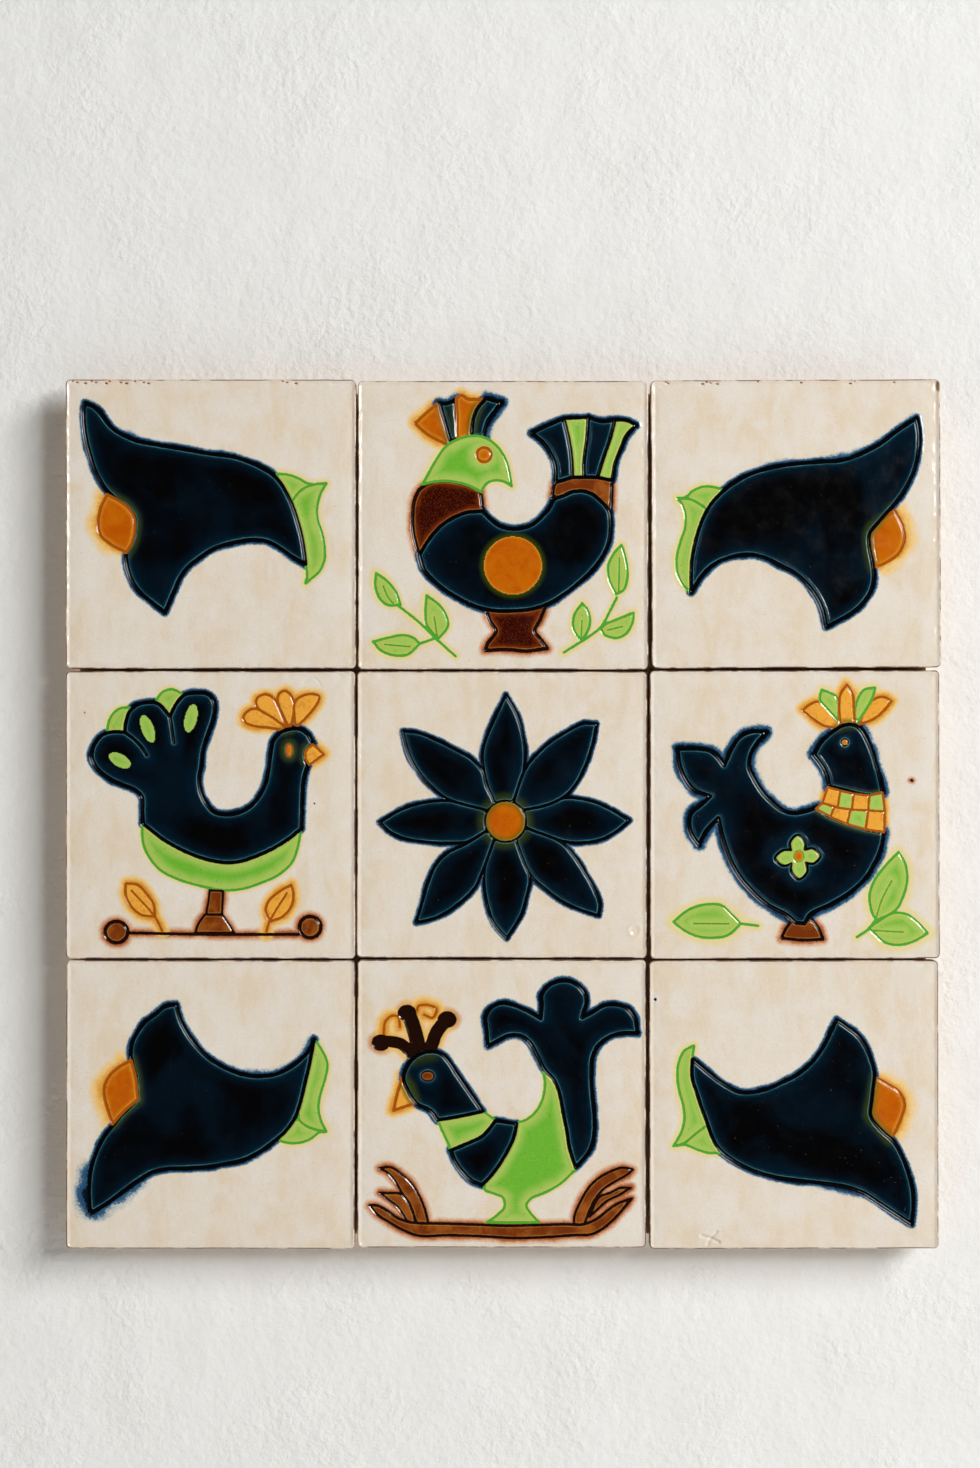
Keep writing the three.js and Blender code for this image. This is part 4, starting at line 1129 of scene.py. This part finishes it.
def glaze():
    look = Look("painted_glaze")
    lines = look.drawn("lines", "line_brown")
    fills = look.drawn("fills", "fill_brown")
    bleeds = look.drawn("bleeds", "bleed_brown")
    edge = look.attribute("edge").outputs["Fac"]
    chip = look.attribute("chip").outputs["Fac"]
    tremble = look.plus(look.times(look.noise(0.9, 4, None, 0.7), 0.6), -0.3)
    lines = {p: look.plus(lines[p], tremble) for p in PIGMENTS}
    nearest = look.most(*lines.values())

    colour = bled_colour(look, ground_colour(look), bleeds)
    inside = fill_colours(look, nearest, lines["blue"], bleeds["amber"], fills)
    for pigment in PIGMENTS:
        colour = look.mix(look.step(fills[pigment], 0.4, 0.6), colour, inside[pigment])

    # Glaze draws back from each line and leaves a thin pale rim inside the fill.
    filled = look.most(*fills.values())
    rim = look.times(look.step(nearest, -0.42, -0.22), look.step(nearest, -0.02, -0.16), filled)
    on_blue = look.mix(fills["blue"], paint_colour(214, 178, 88), paint_colour(84, 138, 148))
    strength = look.step(look.noise(9, 3), 0.3, 0.7, 0.2, 0.7)
    warm_glaze = look.most(fills["amber"], fills["brown"])
    strength = look.times(strength, look.plus(1.0, look.times(warm_glaze, -0.6)))
    colour = look.mix(look.times(rim, strength), colour, on_blue)

    # Pinholes, denser in the runny coloured glazes.
    pinholes = look.most(look.spots(1.9, 0.2), look.spots(2.7, 0.26))
    coloured = look.most(fills["green"], fills["amber"], fills["brown"])
    colour = look.mix(look.times(pinholes, coloured, 0.65), colour, paint_colour(60, 34, 8))

    inks = {
        "green": paint_colour(78, 158, 52),
        "amber": paint_colour(160, 82, 10),
        "brown": paint_colour(34, 16, 8),
        "blue": paint_colour(4, 6, 11),
    }
    for pigment, ink in inks.items():
        colour = look.mix(look.step(lines[pigment], -0.1, 0.1), colour, ink)

    # Worn edges, unglazed sides and chips show the clay.
    ragged = look.plus(edge, look.times(look.plus(look.noise(2.2, 5, None, 0.7), -0.5), 1.8))
    colour = look.mix(look.times(look.step(ragged, 0.6, -0.3), 0.7), colour, paint_colour(186, 134, 94))
    # A dark brown band along every tile edge is painted shade of the joints between tiles, and partly worn
    # glaze.
    on_edge = look.times(look.step(edge, 0.5, 0.3), look.step(edge, -0.4, -0.1))
    joint_shade_and_wear = look.times(on_edge, look.step(look.noise(7, 5), 0.4, 0.55))
    colour = look.mix(look.times(joint_shade_and_wear, 0.85), colour, paint_colour(88, 48, 34))
    clay = look.mix(look.noise(0.8, 4), paint_colour(126, 96, 74), paint_colour(156, 128, 102))
    clay = look.mix(look.step(look.noise(9, 4), 0.45, 0.7, 0, 0.6), clay, paint_colour(180, 164, 142))
    bare = look.most(look.step(ragged, -1.2, -2.4), chip)
    colour = look.mix(bare, colour, clay)

    roughness = look.plus(look.step(look.noise(6, 3), 0.3, 0.75, 0.1, 0.2), look.times(bare, 0.6))
    orange_peel = look.plus(look.noise(2.4, 2), look.times(pinholes, -1.2))
    look.bump(look.plus(orange_peel, look.times(look.noise(0.5, 3), bare)), 0.05)
    look.feed(look.shader.inputs["IOR"], 1.5)
    return look.finish(colour, roughness)


def adhesive():
    look = Look("thinset_adhesive")
    grit = look.noise(0.9, 5)
    colour = look.mix(grit, paint_colour(150, 146, 138), paint_colour(198, 194, 184))
    look.bump(look.plus(grit, look.noise(3.5, 3)), 0.25)
    return look.finish(colour, 0.92)


def plywood():
    """Five plies seen on the edges, fine long grain and short pores on the back."""
    look = Look("birch_plywood")
    waves = look.stretched(look.place, 0.03, 1, 1)
    grain = look.noise(0.9, 5, waves, 0.65, 0.3)
    bands = look.noise(16, 3, look.stretched(look.place, 0.1, 1, 1), 0.5, 0.8)
    pores = look.step(look.noise(0.4, 1, look.stretched(look.place, 0.06, 1, 1)), 0.66, 0.74)
    colour = look.mix(look.step(grain, 0.3, 0.7), paint_colour(196, 162, 120), paint_colour(216, 188, 148))
    colour = look.mix(look.step(bands, 0.42, 0.66, 0, 0.55), colour, paint_colour(186, 146, 102))
    colour = look.mix(look.times(pores, 0.35), colour, paint_colour(138, 100, 64))
    split = look.add("ShaderNodeSeparateXYZ")
    look.feed(split.inputs[0], look.place)
    from_middle = look.maths("ABSOLUTE", look.plus(split.outputs[1], -BOARD_MIDDLE))
    in_edge = look.step(from_middle, BOARD_HALF_THICKNESS, BOARD_HALF_THICKNESS - 0.04)
    plies = look.maths("SINE", look.times(split.outputs[1], math.pi / PLY_THICKNESS))
    dark_ply = look.times(look.step(plies, -0.2, 0.2), in_edge, 0.5)
    colour = look.mix(dark_ply, colour, paint_colour(128, 86, 50))
    look.bump(grain, 0.06)
    return look.finish(colour, look.step(grain, 0.3, 0.7, 0.55, 0.75))


def zinc_steel():
    look = Look("zinc_plated_steel")
    crystals = look.noise(1.8, 3, None, 0.5, 1.0)
    colour = look.mix(crystals, paint_colour(176, 178, 180), paint_colour(212, 214, 214))
    colour = look.mix(look.step(look.noise(5, 4), 0.58, 0.75, 0, 0.35), colour, paint_colour(150, 142, 128))
    look.bump(look.noise(0.4, 2), 0.01)
    return look.finish(colour, look.step(crystals, 0.3, 0.7, 0.26, 0.42), 1.0)


def black_rubber():
    look = Look("black_rubber")
    dust = look.noise(1.2, 4)
    colour = look.mix(look.step(dust, 0.5, 0.8), paint_colour(26, 26, 27), paint_colour(62, 60, 57))
    look.bump(look.noise(0.35, 3), 0.03)
    return look.finish(colour, look.step(dust, 0.3, 0.7, 0.7, 0.9))


def plaster():
    look = Look("rough_plaster")
    trowel = look.noise(24, 3)
    peel = look.noise(2.6, 3, None, 0.6)
    rough_patch = look.step(look.noise(40, 3), 0.4, 0.65, 0.3, 0.6)
    colour = look.mix(trowel, paint_colour(222, 222, 219), paint_colour(230, 230, 228))
    look.bump(look.plus(trowel, look.times(peel, rough_patch)), 1.2)
    see_through = look.add("ShaderNodeBsdfTransparent")
    seen_from_behind = look.add("ShaderNodeNewGeometry").outputs["Backfacing"]
    choose = look.add("ShaderNodeMixShader")
    look.finish(colour, 0.95)
    look.feed(choose.inputs[0], seen_from_behind)
    look.feed(choose.inputs[1], look.shader.outputs[0])
    look.feed(choose.inputs[2], see_through.outputs[0])
    output = look.tree.nodes["Material Output"]
    look.feed(output.inputs["Surface"], choose.outputs[0])
    return look.material


def pale_floor():
    look = Look("pale_floor")
    colour = look.mix(look.noise(60, 3), paint_colour(206, 204, 200), paint_colour(216, 214, 210))
    return look.finish(colour, 0.7)


# ---------------------------------------------------------------- the pieces

def clothe(nodes, material):
    """Gives carried-over CAD nodes their material."""
    for name in nodes:
        node = bpy.data.objects[name]
        if not node.material_slots:
            node.data.materials.append(material)
        for holder in node.material_slots:
            holder.material = material


def refined(node, material, soften):
    """A finer copy of a CAD node on the panel, with its sharp edges rounded by soften millimetres."""
    mesh = bpy.data.objects[node].data.copy()
    mesh.name = f"fine_{node}"
    for attribute in [a for a in mesh.attributes if a.name == "custom_normal"]:
        mesh.attributes.remove(attribute)
    shape = bmesh.new()
    shape.from_mesh(mesh)
    bmesh.ops.remove_doubles(shape, verts=shape.verts, dist=WELD_DISTANCE * MM)
    bmesh.ops.dissolve_limit(shape, angle_limit=FLAT_ANGLE, verts=shape.verts, edges=shape.edges)
    sharp = [edge for edge in shape.edges if edge.calc_face_angle(0) > SHARP_ANGLE]
    bmesh.ops.bevel(shape, geom=sharp, offset=soften * MM, segments=2, affect="EDGES", clamp_overlap=True)
    shape.to_mesh(mesh)
    shape.free()
    mesh.shade_smooth()
    mesh.materials.clear()
    mesh.materials.append(material)
    stand_in(mesh, PANEL, node).modifiers.new("level_flats", "WEIGHTED_NORMAL")


def ring_path():
    """Centre line of a D ring's wire, right half then left, as distances across and down from its bar."""
    corner = RING_HALF_WIDTH - RING_BEND
    leg_end = RING_DEPTH - RING_HALF_WIDTH
    bend = np.linspace(0, math.pi / 2, RING_BEND_STEPS)
    bow = np.linspace(0, math.pi, RING_BOW_STEPS)
    turn = [(corner + RING_BEND * math.sin(a), RING_BEND * (1 - math.cos(a))) for a in bend]
    right = [(RING_GAP / 2, 0), *turn]
    round_end = [(RING_HALF_WIDTH * math.cos(a), leg_end + RING_HALF_WIDTH * math.sin(a)) for a in bow]
    left = [(-across, down) for across, down in reversed(right)]
    return [*right, *round_end, *left]


def ring_piece(side, material):
    """A D ring of round wire, swept smoothly, in place of the faceted one."""
    low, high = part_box(f"ring_{side}")
    middle = (low.x + high.x) / 2
    bar = high.z - RING_WIRE * MM
    depth = (low.y + high.y) / 2
    path = np.array(ring_path())
    ahead = np.gradient(path, axis=0)
    ahead /= np.linalg.norm(ahead, axis=1)[:, None]
    angles = np.linspace(0, 2 * math.pi, RING_SIDES, endpoint=False)
    points = []
    for (across, down), (go_across, go_down) in zip(path, ahead):
        for angle in angles:
            out = RING_WIRE * RING_SHRINK * math.cos(angle)
            back = RING_WIRE * RING_SHRINK * math.sin(angle)
            x = middle + (across + out * go_down) * MM
            z = bar - (down - out * go_across) * MM
            points.append((x, depth + back * MM, z))
    faces = []
    last = (len(path) - 1) * RING_SIDES
    for start in range(0, last, RING_SIDES):
        for j in range(RING_SIDES):
            k = (j + 1) % RING_SIDES
            faces.append((start + k, start + j, start + RING_SIDES + j, start + RING_SIDES + k))
    faces.append(tuple(range(RING_SIDES)))
    faces.append(tuple(range(last, last + RING_SIDES))[::-1])
    mesh = bpy.data.meshes.new(f"fine_ring_{side}")
    mesh.from_pydata(points, [], faces)
    mesh.shade_smooth()
    mesh.materials.append(material)
    stand_in(mesh, f"{side}_ring", f"ring_{side}")


def build_tiles():
    painters = {
        "top_left": paint_top_left,
        "top_middle": paint_top_middle,
        "top_right": paint_top_right,
        "middle_left": paint_middle_left,
        "centre": paint_centre,
        "middle_right": paint_middle_right,
        "bottom_left": paint_bottom_left,
        "bottom_middle": paint_bottom_middle,
        "bottom_right": paint_bottom_right,
    }
    coat = glaze()
    for seed, (name, paint) in enumerate(painters.items()):
        tile_piece(name, paint, seed, coat)
    clothe([f"bed_{name}" for name in painters], adhesive())


def build_back():
    sides = ("left", "right")
    levels = ("upper", "lower")
    corners = [f"{level}_{side}" for level in ("top", "bottom") for side in sides]
    steel = zinc_steel()
    rubber = black_rubber()
    refined("backing_board", plywood(), soften=0.2)
    for side in sides:
        ring_piece(side, steel)
        refined(f"hanger_{side}", steel, soften=0.12)
        for level in levels:
            refined(f"screw_{side}_{level}", steel, soften=0.08)
    for corner in corners:
        refined(f"bumper_{corner}", rubber, soften=0.25)


# ---------------------------------------------------------------- stage, lights and camera

def flat_sheet(name, corners, material):
    mesh = bpy.data.meshes.new(name)
    mesh.from_pydata(corners, [], [range(len(corners))])
    mesh.materials.append(material)
    sheet = bpy.data.objects.new(name, mesh)
    bpy.context.collection.objects.link(sheet)
    return sheet


def build_stage():
    turns = ((-1, -1), (1, -1), (1, 1), (-1, 1))
    levels = {-1: FLOOR_LEVEL, 1: WALL_TOP}
    wall_corners = [(x * WALL_HALF_WIDTH, WALL_FACE, levels[z]) for x, z in turns]
    flat_sheet("wall", wall_corners, plaster()).visible_shadow = False
    floor_corners = [(x * FLOOR_REACH, y * FLOOR_REACH, FLOOR_LEVEL) for x, y in turns]
    flat_sheet("floor", floor_corners, pale_floor()).visible_glossy = False


def soft_light(name, place, size, power, seen_in_gloss=True):
    """An area light that faces the middle of the panel."""
    lamp = bpy.data.lights.new(name, "AREA")
    lamp.shape = "DISK"
    lamp.size = size
    lamp.energy = power
    holder = bpy.data.objects.new(name, lamp)
    holder.location = place
    holder.rotation_euler = (-Vector(place)).to_track_quat("-Z", "Y").to_euler()
    holder.visible_glossy = seen_in_gloss
    bpy.context.collection.objects.link(holder)


def build_lights():
    soft_light("window", (1.05, -2.0, 0.5), 0.45, 17)
    soft_light("sky", (2.3, -2.2, 1.4), 1.5, 86, seen_in_gloss=False)
    soft_light("room", (-1.4, -2.2, 0.3), 1.4, 2.6, seen_in_gloss=False)
    soft_light("behind", (0.7, 1.6, 1.1), 1.2, 34)
    soft_light("behind_low", (-1.0, 1.5, 0.2), 1.2, 16)
    world = bpy.data.worlds.new("dim_room")
    world.use_nodes = True
    backdrop = world.node_tree.nodes["Background"]
    backdrop.inputs["Color"].default_value = (1, 1, 1, 1)
    backdrop.inputs["Strength"].default_value = 0.03
    bpy.context.scene.world = world


def build_camera():
    lens = bpy.data.cameras.new("photo_camera")
    lens.lens = CAMERA_LENS
    lens.sensor_fit = "VERTICAL"
    lens.sensor_height = CAMERA_SENSOR
    holder = bpy.data.objects.new("photo_camera", lens)
    holder.location = CAMERA_PLACE
    holder.rotation_euler = (math.pi / 2, 0, 0)
    bpy.context.collection.objects.link(holder)
    bpy.context.scene.camera = holder


build_tiles()
build_back()
build_stage()
build_lights()
build_camera()
bpy.context.scene.view_settings.view_transform = "Standard"
